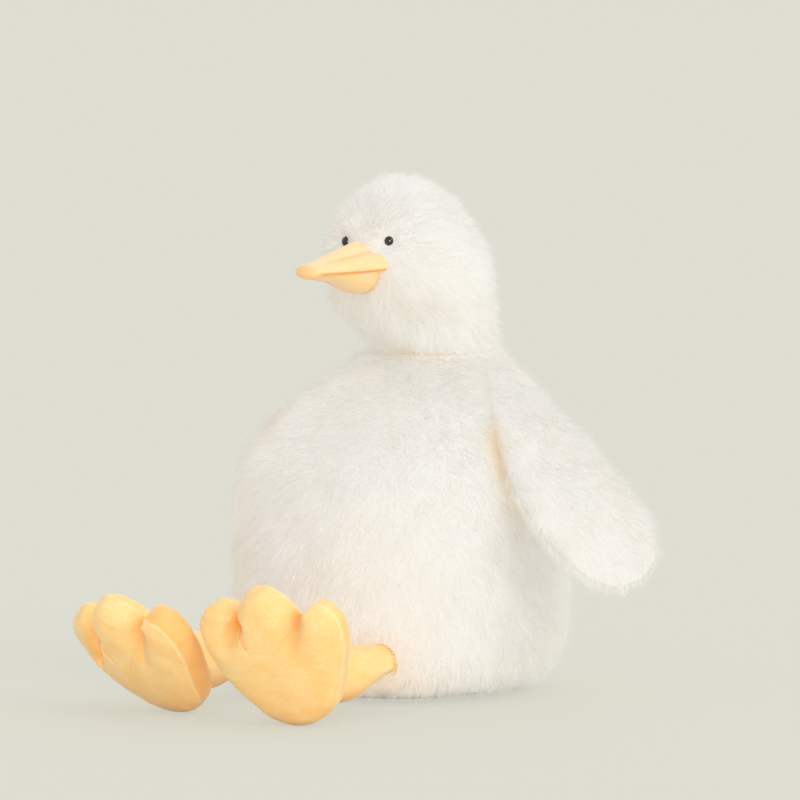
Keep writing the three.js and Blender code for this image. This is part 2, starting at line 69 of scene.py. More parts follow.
# Rows of [height, radius, setback of the ring's middle], from the bottom pole to the top pole.
BODY_ROWS = [
    [4, 0, 0], [3.8, 30, 0], [3.4, 57, 0], [2.2, 66, 0], [6.5, 81, 0], [16, 95, 0], [28.5, 102.6, 0],
    [46, 106.4, 0], [74, 107.5, 0], [104, 107.5, 1], [133, 105.8, 3.8], [155, 99.6, 8.6], [175, 88.2, 15.4],
    [195, 72.3, 23.2], [212, 52.4, 31], [221, 42.6, 35], [224.2, 39.3, 36.4], [224.6, 36.6, 37],
    [223.2, 34.5, 37], [214, 31.3, 37], [204, 23.6, 37], [197.4, 13, 37], [194.8, 0, 37],
]
HEAD_ROWS = [
    [265.2, 0, 37], [262.6, 13, 37], [256, 23.6, 37], [246, 31.3, 37], [236.8, 34.5, 37],
    [235.3, 36.4, 36.2], [236, 38.6, 34.6], [240.5, 41.6, 28.8], [247, 44.8, 22.8], [257.5, 48.7, 14.6],
    [267, 51.2, 10], [281, 52.2, 6.8], [295, 50.2, 4], [307.5, 45.1, 1.4], [318, 38.6, 0.6],
    [328.2, 29.6, 0.2], [336.6, 18, 0], [340.2, 8, 0], [341.0, 0, 0],
]

EYE_HEIGHT = 303.5
EYE_BEARING = np.radians(23.6)
EYE_REACH = 43.0
EYE_SETBACK = 3.0
EYE_RADIUS = 3.8
# How far each eye was sewn from its drawn place.
EYE_SHIFT = {1: [1.6, 1.2, 0.2], -1: [2.8, -2.4, -2.0]}
# The way along which the pile in front of each eye is parted.
EYE_PARTING = np.array([0.6, -0.79, 0.12])

# Middle line of each wing, from inside the body through the seam to the tip, +X out to its side.
WING_LINES = {
    1: [[38, 45, 213], [60, 37, 208], [125, 12, 147], [186, 22, 86]],
    -1: [[36, 45, 208], [57, 40, 202], [123, 16, 146], [152, 48, 82]],
}
WING_SEAMS = {1: [59, 24, 212], -1: [56, 30, 206]}
# The way across each wing at its root and at its tip.
WING_ACROSS = [[0.05, 0.99, -0.14], [0.35, 0.85, 0.39]]
# Rows of [share of the line, share of the half width, share of the half thickness].
WING_ROWS = [
    [0, 0.36, 0.34], [0.1, 0.44, 0.4], [0.25, 0.69, 0.64], [0.44, 0.93, 1], [0.65, 1, 0.95],
    [0.8, 0.97, 0.84], [0.91, 0.8, 0.64], [0.975, 0.5, 0.38], [1, 0, 0],
]
WING_HALF_SIZES = [[40.0], [15.5]]
# How far the fabric lies inside the outline that its pile fills.
WING_INSET = 3.2

BEAK_ROOT = 28.0
MOUTH_HEIGHT = 286.0
# Rows of [share of the length, and shares of the half width, the rise and the drop].
UPPER_BEAK_ROWS = [
    [0.14, 0.94, 0.84, 1], [0.26, 0.94, 0.85, 1], [0.42, 0.86, 0.72, 1], [0.58, 0.72, 0.59, 1.1],
    [0.74, 0.57, 0.43, 1.15], [0.87, 0.45, 0.32, 1.1], [0.955, 0.39, 0.28, 1.05], [1, 0, 0, 0],
]
LOWER_BEAK_ROWS = [
    [0.17, 0.9, 1, 0.96], [0.3, 0.93, 1, 1], [0.47, 0.85, 1, 0.82], [0.65, 0.7, 0.9, 0.52],
    [0.82, 0.53, 0.7, 0.36], [0.94, 0.34, 0.5, 0.26], [1, 0, 0, 0],
]
# Each half's rows, its length, its [half width, rise, drop] and whether it is folded.
BEAK_SIZES = {
    "upper": (UPPER_BEAK_ROWS, 75, [23, 20, 3.5], 1), "lower": (LOWER_BEAK_ROWS, 69, [18.5, 4, 17.5], 0),
}
# The upper half's section, from the mouth's edge over the side panel and the fold to the ridge: shares
# of the half width and of the rise.
BEAK_SECTION = [
    [1, 0], [1.0, 0.2], [0.93, 0.42], [0.79, 0.57], [0.6, 0.6], [0.47, 0.64], [0.36, 0.79], [0.2, 0.94],
    [0, 1],
]
BEAK_STITCHES = 22

HIP = np.array([60.3, -99.7, 26.0])
HIP_RADIUS = 13.0
ANKLE = np.array([51.5, -164.0, 37.0])
# Rows of [share from hip to ankle, height of the middle, half width, rise, drop] of a leg's section.
LEG_ROWS = [
    [0, 31, 13, 13, 7], [0.2, 29.8, 15.5, 15.5, 12.5], [0.45, 28.5, 18, 18.2, 18.5],
    [0.75, 29, 19.5, 19.8, 19.5], [1, 30, 19.5, 19.5, 19],
]

HEEL = np.array([49.0, -179.0])
FOOT_LENGTH = 97.0
FOOT_HALF_WIDTH = 58.0
FOOT_HALF_THICKNESS = 19.0
FOOT_CENTRE = 0.45
FOOT_LEAN = {1: 20.0, -1: 40.0}
FOOT_SETBACK = {1: 0.0, -1: 6.0}
FOOT_ROLL = 1.0
FOOT_SPLAY = 8.0
FOOT_RIM = [
    [0.2, 0], [0.46, 0.04], [0.72, 0.17], [0.88, 0.38], [0.99, 0.61], [1.0, 0.79], [0.88, 0.91],
    [0.68, 0.93], [0.47, 0.82], [0.33, 0.87], [0.15, 0.96], [-0.03, 1.0], [-0.2, 0.95], [-0.3, 0.85],
    [-0.33, 0.74], [-0.42, 0.82], [-0.58, 0.86], [-0.78, 0.81], [-0.89, 0.71], [-0.88, 0.6],
    [-0.76, 0.44], [-0.58, 0.29], [-0.36, 0.16], [-0.1, 0.04],
]
# Each notch between toes: its point of the rim, where its groove ends, the groove's half width and
# its depth as a share of the half thickness. The small toe stands beside the first.
SMALL_TOE_NOTCH = 14
FOOT_GROOVES = {
    1: [[SMALL_TOE_NOTCH, [-30, 51], 4.8, 0.62], [8, [24, 52], 6.0, 0.5]],
    -1: [[SMALL_TOE_NOTCH, [-27, 40], 4.4, 0.6], [8, [20, 50], 6.5, 0.7]],
}
# How far the small toe lies behind the others, below its place in the rim and out from it.
TOE_BACK = {1: [2.5, 0.5, 2.0], -1: [9.0, 8.0, 10.0]}
# How far, as an angle of the half oval, the edge seam lies forward on the foot's left side, and how much
# painted shade deepens the colour behind it, most on the far foot, whose side there lies in shade.
SEAM_FORWARD = {1: 0.25, -1: 0.5}
SEAM_TINT = {1: 0.1, -1: 0.4}

# Pile, in millimetres: the spacing of its tufts, and the share of guard hairs in it
TUFT = 5.2
GUARD_SHARE = 0.13
UV_SPREAD = np.array([[-0.001, -0.001], [0.001, -0.001], [0, 0.001], [0.0, 0.004]])

# Stage: bearings from the duck's front and heights, in degrees; the camera's place in metres
LAMPS = (
    ("key", 98.0, 34.0, 0.66, 40.0, (1.0, 0.99, 0.97)),
    ("front", 42.0, 9.0, 1.36, 14.0, (1.0, 1.0, 1.0)),
    ("back", 205.0, 42.0, 0.55, 70.0, (1.0, 1.0, 1.0)),
)
ROOM_LIGHT = 0.715
PAPER_GLOW = 1.015
FLOOR_HALF = 30000.0
VIEW_BEARING, VIEW_HEIGHT = 39.0, 6.5
VIEW_TARGET = np.array([0, 0, 0.1933])
VIEW_DISTANCE = 8.0
VIEW_LENS, VIEW_SENSOR = 540.0, 36.0
VIEW_SHIFT = -0.00125


# Curves and surfaces


def unit(vectors):
    return vectors / np.maximum(np.linalg.norm(vectors, axis=-1, keepdims=True), 1e-9)


def distance(points, place):
    return np.linalg.norm(points - place, axis=-1)


def mirrored(points, side):
    return np.asarray(points, float) * [side, 1, 1]


def bell(value, width):
    """1 at zero, falling smoothly to 0 some two widths away."""
    return np.exp(-((value / width) ** 2))


def ramp(value, start, end):
    """0 up to the start, 1 from the end on, straight between."""
    return np.clip((value - start) / (end - start), 0, 1)


def full_turn(count):
    """Angles at even steps around a circle."""
    return np.linspace(0, 2 * np.pi, count, endpoint=False)


def spline(points, share):
    """Points on a smooth curve through the given points: in each span, the cubic whose ends slope as
    the line between the two neighbouring points does."""
    points = np.asarray(points, float)
    place = np.clip(share, 0, 1) * (len(points) - 1)
    span = np.minimum(place.astype(int), len(points) - 2)
    w = (place - span)[..., None]
    before, a = points[np.maximum(span - 1, 0)], points[span]
    b, after = points[span + 1], points[np.minimum(span + 2, len(points) - 1)]
    slope_a, slope_b = (b - before) / 2, (after - a) / 2
    cubic, square = 2 * a - 2 * b + slope_a + slope_b, 3 * b - 3 * a - 2 * slope_a - slope_b
    return cubic * w**3 + square * w**2 + slope_a * w + a


def columns_at(rows, at):
    """The rows' other columns, each read where the first column reaches the given values."""
    return [np.interp(at, rows[:, 0], column) for column in rows.T[1:]]


def even_curve(points, closed=False, samples=400):
    """A smooth curve through points that lie unevenly apart, resampled at even steps along it. Each
    span's slopes allow for its neighbours' lengths, taken to the power of a half."""
    points = np.asarray(points, float)
    if closed:
        padded = np.vstack([points[-1], points, points[0], points[1]])
    else:
        padded = np.vstack([2 * points[0] - points[1], points, 2 * points[-1] - points[-2]])
    w = np.linspace(0, 1, samples, endpoint=False)[:, None]
    parts = []
    for i in range(len(padded) - 3):
        p0, p1, p2, p3 = padded[i : i + 4]
        d0, d1, d2 = (np.sqrt(distance(b, a)) for a, b in ((p0, p1), (p1, p2), (p2, p3)))
        m1 = ((p1 - p0) / d0 - (p2 - p0) / (d0 + d1) + (p2 - p1) / d1) * d1
        m2 = ((p2 - p1) / d1 - (p3 - p1) / (d1 + d2) + (p3 - p2) / d2) * d1
        parts.append(
            (2 * w**3 - 3 * w**2 + 1) * p1 + (w**3 - 2 * w**2 + w) * m1
            + (-2 * w**3 + 3 * w**2) * p2 + (w**3 - w**2) * m2
        )
    path = np.vstack(parts + [padded[-2][None]])
    reach = np.concatenate([[0], np.cumsum(np.linalg.norm(np.diff(path, axis=0), axis=1))])
    return np.stack(columns_at(np.column_stack([reach, path]), np.linspace(0, reach[-1], samples)), axis=1)


def rings(rows, around):
    """A grid of level rings, one for each row of [height, radius, setback of its middle]."""
    turn = full_turn(around)
    height, radius, setback = (rows[:, k, None] for k in range(3))
    return np.stack([radius * np.cos(turn), setback + radius * np.sin(turn), height + 0 * turn], axis=-1)


def turned_rows(rows, around, along):
    """Rings whose height, radius and setback run smoothly through the rows."""
    smooth = spline(rows, np.linspace(0, 1, along))
    smooth[:, 1] = np.maximum(smooth[:, 1], 0)
    return rings(smooth, around)


def normals_of(grid):
    """Outward unit normals of a grid of closed rings, from the differences along and around it."""
    around = np.roll(grid, -1, axis=1) - np.roll(grid, 1, axis=1)
    normal = np.cross(around, np.gradient(grid, axis=0))
    for end, inner in ((0, 1), (-1, -2)):
        normal[end] = grid[end].mean(0) - grid[inner].mean(0)
    if np.sum(normal[1:-1] * (grid[1:-1] - grid.mean((0, 1)))) < 0:
        normal[1:-1] *= -1
    return unit(normal)


def raised(grid, height):
    """The grid moved out along its normals, by each point's height."""
    return grid + normals_of(grid) * height[..., None]


def ripple(points, size, seed, octaves=3):
    """A smooth field from -1 to 1: waves in a few fixed directions, summed, each finer and weaker."""
    source = np.random.default_rng(seed)
    total = np.zeros(points.shape[:-1])
    weight = 0
    for octave in range(octaves):
        for _ in range(5):
            way = unit(source.normal(size=3)) * 2 * np.pi / size * 1.7**octave
            total += np.sin(points @ way + source.uniform(0, 6.3)) / 1.6**octave
            weight += 0.45 / 1.6**octave
    return np.clip(total / weight, -1, 1)


# Meshes


def write_mesh(name, points, faces, uvs=None, marks=None, smooth=True):
    """A mesh object from points in millimetres and rows of corners, all with as many corners. It may
    bring its own map and named values, one for each point."""
    faces = np.asarray(faces, np.int32)
    mesh = bpy.data.meshes.new(name)
    mesh.vertices.add(len(points))
    mesh.vertices.foreach_set("co", (np.asarray(points) / 1000).astype(np.float32).ravel())
    mesh.loops.add(faces.size)
    mesh.loops.foreach_set("vertex_index", faces.ravel())
    mesh.polygons.add(len(faces))
    mesh.polygons.foreach_set("loop_start", np.arange(0, faces.size, faces.shape[1], dtype=np.int32))
    mesh.update(calc_edges=True)
    if uvs is not None:
        layer = mesh.uv_layers.new(name="OFBake")
        layer.data.foreach_set("uv", uvs[faces.ravel()].astype(np.float32).ravel())
    for mark, values in (marks or {}).items():
        layer = mesh.attributes.new(mark, "FLOAT", "POINT")
        layer.data.foreach_set("value", np.asarray(values, np.float32).ravel())
    if smooth:
        mesh.shade_smooth()
    else:
        mesh.shade_flat()
    made = bpy.data.objects.new(name, mesh)
    bpy.context.scene.collection.objects.link(made)
    return made


def ring_faces(count, around):
    """Triangles over a pole, that many rings of points and a second pole: a fan at each pole, and
    halved quads between rings."""
    k = np.arange(around)
    after = (k + 1) % around
    start = (1 + np.arange(count - 1) * around)[:, None]
    last = 1 + (count - 1) * around
    a, b = (start + k).ravel(), (start + after).ravel()
    corners = (
        (0 * k, 1 + after, 1 + k), (a, b, b + around), (a, b + around, a + around),
        (0 * k + last + around, last + k, last + after),
    )
    return np.vstack([np.stack(three, 1) for three in corners])


def closed_form(name, grid, marks=None):
    """A closed mesh over a grid whose first and last rings are poles."""

    def listed(field):
        middle = field[1:-1].reshape(-1, *field.shape[2:])
        return np.concatenate([field[:1].mean(1), middle, field[-1:].mean(1)])

    points = listed(grid)
    faces = ring_faces(len(grid) - 2, grid.shape[1])
    corners = points[faces]
    if np.sum(corners[:, 0] * np.cross(corners[:, 1], corners[:, 2])) < 0:
        faces = faces[:, ::-1]
    marks = {mark: listed(field) for mark, field in (marks or {}).items()}
    return write_mesh(name, points, faces, marks=marks)


def tubes(name, paths, radius, sides=6):
    """Closed round tubes, one along each of several paths of as many points, tapered at both ends."""
    count, steps, _ = paths.shape
    along = unit(np.gradient(paths, axis=1))
    across = unit(np.cross(along, np.where(np.abs(along[..., 2:3]) < 0.9, UP, [1.0, 0, 0])))
    over = np.cross(along, across)
    turn = full_turn(sides)[:, None]
    taper = np.ones((steps, 1, 1))
    taper[[0, -1]] = 0.35
    ring = (across[:, :, None] * np.cos(turn) + over[:, :, None] * np.sin(turn)) * (radius * taper)
    around = (paths[:, :, None] + ring).reshape(count, -1, 3)
    points = np.concatenate([paths[:, :1], around, paths[:, -1:]], axis=1)
    faces = ring_faces(steps, sides) + (np.arange(count) * points.shape[1])[:, None, None]
    return write_mesh(name, points.reshape(-1, 3), faces.reshape(-1, 3))


# Pile


def scattered(grid, density, seed):
    """Roots spread evenly over a grid: a cell is drawn in proportion to its area, then a point in it.
    Gives each root's place, normal and grid coordinates."""
    source = np.random.default_rng(seed)
    places, normals = (np.concatenate([field, field[:, :1]], axis=1) for field in (grid, normals_of(grid)))
    a, b, c, d = places[:-1, :-1], places[:-1, 1:], places[1:, :-1], places[1:, 1:]
    area = (distance(np.cross(b - a, c - a), 0) + distance(np.cross(b - d, c - d), 0)) / 2
    count = int(area.sum() * density)
    edges = np.cumsum(area.ravel())
    cell = np.searchsorted(edges, source.uniform(0, edges[-1], count))
    row, column = np.divmod(np.minimum(cell, area.size - 1), area.shape[1])
    s, t = source.uniform(size=(2, count, 1))

    def blended(field):
        near = field[row, column] * (1 - t) + field[row, column + 1] * t
        far = field[row + 1, column] * (1 - t) + field[row + 1, column + 1] * t
        return near * (1 - s) + far * s

    spot = np.stack([(column + t[:, 0]) / area.shape[1], (row + s[:, 0]) / area.shape[0]], axis=1)
    return blended(places), unit(blended(normals)), spot


# Finishes


class Value:
    """A shader socket that takes part in sums as a number does."""

    def __init__(self, finish, socket):
        self.finish, self.socket = finish, socket

    def joined(self, operation, first, second):
        return self.finish.node("Math", {0: first, 1: second}, operation=operation)

    def __add__(self, other):
        return self.joined("ADD", self, other)

    def __radd__(self, other):
        return self.joined("ADD", other, self)

    def __sub__(self, other):
        return self.joined("SUBTRACT", self, other)

    def __rsub__(self, other):
        return self.joined("SUBTRACT", other, self)

    def __mul__(self, other):
        return self.joined("MULTIPLY", self, other)

    def __rmul__(self, other):
        return self.joined("MULTIPLY", other, self)


def linear(colour, by=1.0):
    """A colour as written on a screen, as light, made brighter or darker by a factor."""
    value = np.asarray(colour[:3], float)
    light = np.where(value <= 0.04045, value / 12.92, ((value + 0.055) / 1.055) ** 2.4)
    return [*(float(c) for c in np.clip(light * by, 0, 1)), 1]


class Finish:
    """A node material on Object coordinates. Every node in it is made by node()."""

    def __init__(self, name):
        self.material = bpy.data.materials.new(name)
        self.material.use_nodes = True
        self.tree = self.material.node_tree
        self.tree.nodes.clear()
        self.place = self.node("TexCoord", output="Object")

    def node(self, kind, inputs=None, output=0, **settings):
        made = self.tree.nodes.new("ShaderNode" + kind)
        for key, value in settings.items():
            setattr(made, key, value)
        for key, value in (inputs or {}).items():
            if isinstance(value, Value):
                self.tree.links.new(value.socket, made.inputs[key])
            else:
                made.inputs[key].default_value = value
        return Value(self, made.outputs[output]) if len(made.outputs) else None

    def noise(self, size, detail=3.0, roughness=0.55, stretch=None):
        """Noise whose features are about size millimetres across."""
        place = self.place
        if stretch:
            place = self.node("Mapping", {"Vector": place, "Scale": stretch})
        inputs = {"Vector": place, "Scale": 1000 / size, "Detail": detail, "Roughness": roughness}
        return self.node("TexNoise", inputs)

    def mark(self, name):
        """A value that the mesh brings for each point, or 0 where it brings none."""
        return self.node("Attribute", output="Fac", attribute_name=name)

    def step(self, value, low, high):
        """0 below low, 1 above high, smooth between."""
        inputs = {0: value, 1: low, 2: high, 3: 0.0, 4: 1.0}
        return self.node("MapRange", inputs, interpolation_type="SMOOTHSTEP")

    def surface(self, base, coats, rough, height=None, depth=0.3, **uniform):
        """The material's surface: a base colour under coats, each a share and a colour. Colours are as
        written on a screen, or as light in a list."""
        for share, colour in coats:
            first, second = (c if isinstance(c, (Value, list)) else linear(c) for c in (base, colour))
            base = self.node("Mix", {0: share, 6: first, 7: second}, output=2, data_type="RGBA")
        inputs = {"Base Color": base, "Roughness": rough}
        inputs.update({key.replace("_", " "): value for key, value in uniform.items()})
        if height is not None:
            bump = {"Height": height, "Strength": 1.0, "Distance": depth / 1000}
            inputs["Normal"] = self.node("Bump", bump)
        self.node("OutputMaterial", {"Surface": self.node("BsdfPrincipled", inputs)})


def pile_finish(finish, settings):
    """Pile: white tips on warmer roots, a little warmer and cooler in patches a few centimetres wide, painted
    tan shade in the creases where two parts meet, and painted orange light bounced from the legs beside them."""
    root = 1 - finish.mark("tip")
    coats = [
        (finish.step(finish.noise(46, 2), 0.35, 0.7), settings.pile_warm_colour),
        (finish.step(finish.noise(4, 3), 0.35, 0.75) * 0.4, settings.pile_shade_colour),
        (root * 0.3, settings.pile_shade_colour),
        # Painted shade: tan in the creases under the chin and beside the wings.
        (finish.mark("fold") * (0.52 + root * 0.4), settings.pile_fold_colour),
        # Painted light: orange bounced from the legs onto the pile beside them.
        (finish.mark("warm"), settings.pile_blush_colour),
    ]
    finish.surface(settings.pile_colour, coats, 0.8, Sheen_Weight=0.1, Sheen_Roughness=0.5)


def backing_finish(finish, settings):
    """The knitted backing and the pressed roots of the pile: warm, mottled and finely ribbed, with painted tan
    shade in the creases where two parts meet.
    """
    roots = finish.noise(1.2, 4, 0.6)
    rib = finish.noise(2.6, 2, stretch=(1, 1, 0.35))
    coats = [
        (finish.step(roots, 0.3, 0.7), settings.pile_colour),
        # Painted shade: tan in the creases under the chin and beside the wings.
        (finish.mark("fold") * 0.65, settings.pile_fold_colour),
    ]
    finish.surface(settings.pile_shade_colour, coats, 0.95, roots * 0.6 + rib * 0.4, 0.5, Sheen_Weight=0.2)


def velboa_finish(finish, settings):
    """Short plush: a fine nap, broad brushed patches and soft wrinkles, with painted shade where the mesh
    marks it deep, and a painted highlight along a raised seam. The first word of its name says which colours
    it has."""
    part = finish.material.name.split("_")[0]
    colour, deep, fold = (getattr(settings, f"{part}_{kind}colour") for kind in ("", "deep_", "fold_"))
    nap = finish.noise(0.7, 3, 0.6)
    wrinkle = finish.noise(9, 3, 0.5)
    coats = [
        (finish.step(finish.noise(17, 3, stretch=(1, 0.6, 1.5)), 0.36, 0.68) * 0.5, deep),
        (finish.step(finish.noise(1.7, 3, 0.65), 0.42, 0.66) * 0.42, deep),
        # Painted shade in folds, notches, the mouth line and low down; on the beak also a deeper tone toward
        # the tip.
        (finish.mark("deep"), fold),
        # Painted highlight along the raised seam ridge.
        (finish.mark("pale") * 0.28, (1.0, 0.93, 0.8)),
    ]
    finish.surface(
        colour, coats, 0.86 - nap * 0.12, nap * 0.3 + wrinkle * 0.7, settings.nap_depth * 1000,
        Sheen_Weight=0.3, Sheen_Roughness=0.4, Subsurface_Weight=0.25, Subsurface_Radius=(1.0, 0.42, 0.12),
        Subsurface_Scale=0.008,
    )


def thread_finish(finish, settings):
    """Sewing thread: two plies that wind around each other, as fine slanted bands."""
    inputs = {"Vector": finish.place, "Scale": 900.0, "Distortion": 1.5, "Detail": 1.0}
    ply = finish.node("TexWave", inputs, output=1)
    coats = [(ply, linear(settings.thread_colour, 0.86))]
    finish.surface(settings.thread_colour, coats, 0.6, ply, 0.08, Sheen_Weight=0.4)


def eye_finish(finish, settings):
    """Polished plastic: near black, with a faint haze of handling in its gloss."""
    haze = finish.noise(1.5, 3)
    finish.surface(
        settings.eye_colour, [(haze * 0.4, (0.04, 0.035, 0.03))], 0.07 + haze * 0.05,
        Coat_Roughness=0.05, Coat_Weight=0.3, Specular_IOR_Level=0.8,
    )


def fibre_finish(finish, settings):
    """Loose polyester fibre: white, with tangled shadows between the strands."""
    tangle = finish.noise(3, 6, 0.7)
    coats = [(finish.step(tangle, 0.3, 0.6), (0.97, 0.97, 0.96))]
    finish.surface((0.86, 0.86, 0.85), coats, 1.0, tangle, 1.2, Sheen_Weight=0.4)


def cotton_finish(finish, settings):
    """Plain cotton over pellets: a fine weave, and round lumps where pellets press out, with painted shade in
    the hollows between them.
    """
    lumps = finish.node("TexVoronoi", {"Vector": finish.place, "Scale": 260.0})
    height = finish.noise(0.5, 2) * 0.25 - lumps
    # Painted shade: darker toward the hollows between the lumps.
    finish.surface((0.89, 0.87, 0.83), [(lumps * 0.7, (0.78, 0.75, 0.69))], 0.9, height, 0.9)


def moulded_finish(finish, settings):
    """Moulded plastic: pale, satin, with a faint grain."""
    grain = finish.noise(0.6, 2)
    finish.surface((0.92, 0.92, 0.9), [(grain * 0.3, (0.8, 0.8, 0.78))], 0.4 + grain * 0.15, grain, 0.05)


FINISHES = {
    "long_pile": pile_finish, "fur_backing": backing_finish, "feet_velboa": velboa_finish,
    "beak_velboa": velboa_finish, "sewing_thread": thread_finish, "polished_plastic": eye_finish,
    "polyester_fibre": fibre_finish, "cotton_bag": cotton_finish, "moulded_plastic": moulded_finish,
}


def paint(made, name):
    """Gives a piece the finish of that name, which is made the first time that it is asked for."""
    if name not in bpy.data.materials:
        FINISHES[name](Finish(name), bpy.context.scene.plush)
    made.data.materials.clear()
    made.data.materials.append(bpy.data.materials[name])


def dress(made, body, material, replaces=(), blend=None):
    """Gives a finished piece its material, attaches it to the body that it moves with and hides the solids
    that it stands for. A blend names a second body, and where the motion between the two starts and ends; a
    piece given one is attached to no body, its place is baked into its mesh, and the blend's body and ends are
    not used."""
    paint(made, material)
    if blend:
        other, start, end = blend
        tuple(start / 1000)
        tuple(end / 1000)
        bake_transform(made)
    else:
        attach(made, body)
    if replaces:
        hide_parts(*replaces)


def furred(
    name, body, grid, comb, keep, shorten, folded, offset=0, parts=1, lean=None, density=1.0, blend=None
):
    """Makes the pile over a form's grid, in as many pieces as asked: narrow closed spikes with three
    sides. Each leans from its normal toward the comb direction by the lean's sine, wanders a little,
    and its tip draws toward the middle of its tuft. Guard hairs are finer and stand up more."""
    settings = bpy.context.scene.plush
    fields = scattered(grid, settings.pile_density * density, settings.seed + offset)
    kept = keep(fields[0])
    roots, normals, spots = (field[kept] for field in fields)
    count = len(roots)
    seed = settings.seed + 100 + offset
    source = np.random.default_rng(seed)

    def level(vectors):
        return vectors - normals * np.sum(vectors * normals, axis=1, keepdims=True)

    way = unit(level(comb(roots)))
    side = np.cross(normals, way)
    swing = 0.55 * ripple(roots, 34, seed + 1) + 0.28 * ripple(roots, 11, seed + 2)
    swing = swing + source.normal(0, 0.24, count)
    way = way * np.cos(swing)[:, None] + side * np.sin(swing)[:, None]
    guard = source.uniform(size=count) < GUARD_SHARE
    slope = settings.pile_lean if lean is None else np.radians(lean)
    slope = slope + np.radians(9) * ripple(roots, 19, seed + 3) + source.normal(0, 0.13, count)
    slope = np.where(guard, slope * 0.55, slope)
    length = settings.pile_length * 1000
    reach = length * (1 + 0.1 * ripple(roots, 15, seed + 4)) * source.uniform(0.74, 1.12, count)
    reach = reach * shorten(roots)
    tips = roots + reach[:, None] * (normals * np.cos(slope)[:, None] + way * np.sin(slope)[:, None])
    cell = np.floor(tips / TUFT)
    jitter = np.sin(cell @ np.array([[12.99, 78.23, 37.72], [39.35, 11.14, 83.16], [73.16, 52.24, 9.15]]))
    pull = level((cell + 0.5 + 0.4 * jitter) * TUFT - tips)
    tips = tips + 0.3 * pull * np.clip(reach / length, 0, 1)[:, None]
    tips[:, 2] = np.maximum(tips[:, 2], 0.4)
    across = unit(np.cross(unit(tips - roots), normals + 0.25 * source.normal(size=(count, 3))))
    over = np.cross(unit(tips - roots), across)
    half = settings.pile_width * 500 * source.uniform(0.75, 1.2, count) * np.where(guard, 0.6, 1)
    turn = np.radians([-150, -30, 90])[:, None]
    ring = (across[:, None] * np.cos(turn) + over[:, None] * np.sin(turn)) * half[:, None, None]
    points = np.concatenate([(roots - 0.3 * normals)[:, None] + ring, tips[:, None]], axis=1)
    points[..., 2] = np.maximum(points[..., 2], 0.2)
    spike = np.array([[2, 1, 0], [0, 1, 3], [1, 2, 3], [2, 0, 3]])
    # Painted shade in the creases and painted orange light bounced from the legs, kept on each strand as
    # marks.
    folds, bounce_light = folded(roots), by_leg(roots)
    for index, chosen in enumerate(np.array_split(np.argsort(spots[:, 0], kind="stable"), parts)):
        faces = (spike + 4 * np.arange(len(chosen))[:, None, None]).reshape(-1, 3)
        spot = spots[chosen]
        spot = (spot - spot.min(0)) / np.maximum(np.ptp(spot, axis=0), 1e-6)
        uvs = 0.01 + 0.98 * np.clip(spot[:, None] + UV_SPREAD, 0, 1).reshape(-1, 2)
        label = f"{name}_{index + 1}" if parts > 1 else name
        marks = {
            "tip": np.tile([0.0, 0.0, 0.0, 1.0], len(chosen)),
            "fold": np.repeat(folds[chosen], 4),
            "warm": np.repeat(bounce_light[chosen], 4),
        }
        strands = write_mesh(label, points[chosen].reshape(-1, 3), faces, uvs, marks, smooth=False)
        strands.visible_shadow = False
        strands.visible_diffuse = False
        dress(strands, body, "long_pile", blend=blend)


FABRICS = {"fur": "fur_backing", "beak": "beak_velboa", "feet": "feet_velboa"}


def cover(name, body, slot, replaces, grid, marks=None, blend=None):
    """Makes a padded piece of the slot's fabric over a grid."""
    dress(closed_form(name, grid, marks), body, FABRICS[slot], replaces, blend)


# Forms of the pieces


def eye_way(side):
    """The way that an eye looks."""
    return np.array([side * np.sin(EYE_BEARING), -np.cos(EYE_BEARING), 0])


def eye_centre(side):
    return EYE_REACH * eye_way(side) + [0, EYE_SETBACK, EYE_HEIGHT] + EYE_SHIFT[side]


def body_grid(around=220, along=260):
    """The body: rings on a centre line that leans back, softly uneven, flat under the base."""
    grid = turned_rows(BODY_ROWS, around, along)
    swell = 1.3 * ripple(grid, 90, 3, 2) * ramp(grid[..., 2], 12, 52)
    outer = (np.arange(along) < along * 0.72)[:, None]
    return raised(grid, swell * outer)


def head_grid(around=180, along=220):
    """The head: rings on a centre line that leans back into the neck, pressed in around each eye."""
    grid = turned_rows(HEAD_ROWS, around, along)
    for _, side in SIDES:
        front = eye_centre(side) + 5 * eye_way(side)
        grid = raised(grid, -3.6 * bell(distance(grid, front), 6.5))
    return grid


def neck_grid(around=96, along=64):
    """The neck: a ball between the sockets of the body and the head."""
    turn = np.linspace(-np.pi / 2, np.pi / 2, along)
    height, radius = NECK[2] + NECK_BALL * np.sin(turn), NECK_BALL * np.cos(turn)
    return rings(np.stack([height, radius, np.full(along, NECK[1])], 1), around)


def wing_seam(side):
    """Where a wing is sewn on and the way that it points from there."""
    seam = mirrored(WING_SEAMS[side], side)
    return seam, unit(mirrored(WING_LINES[side], side)[2] - seam)


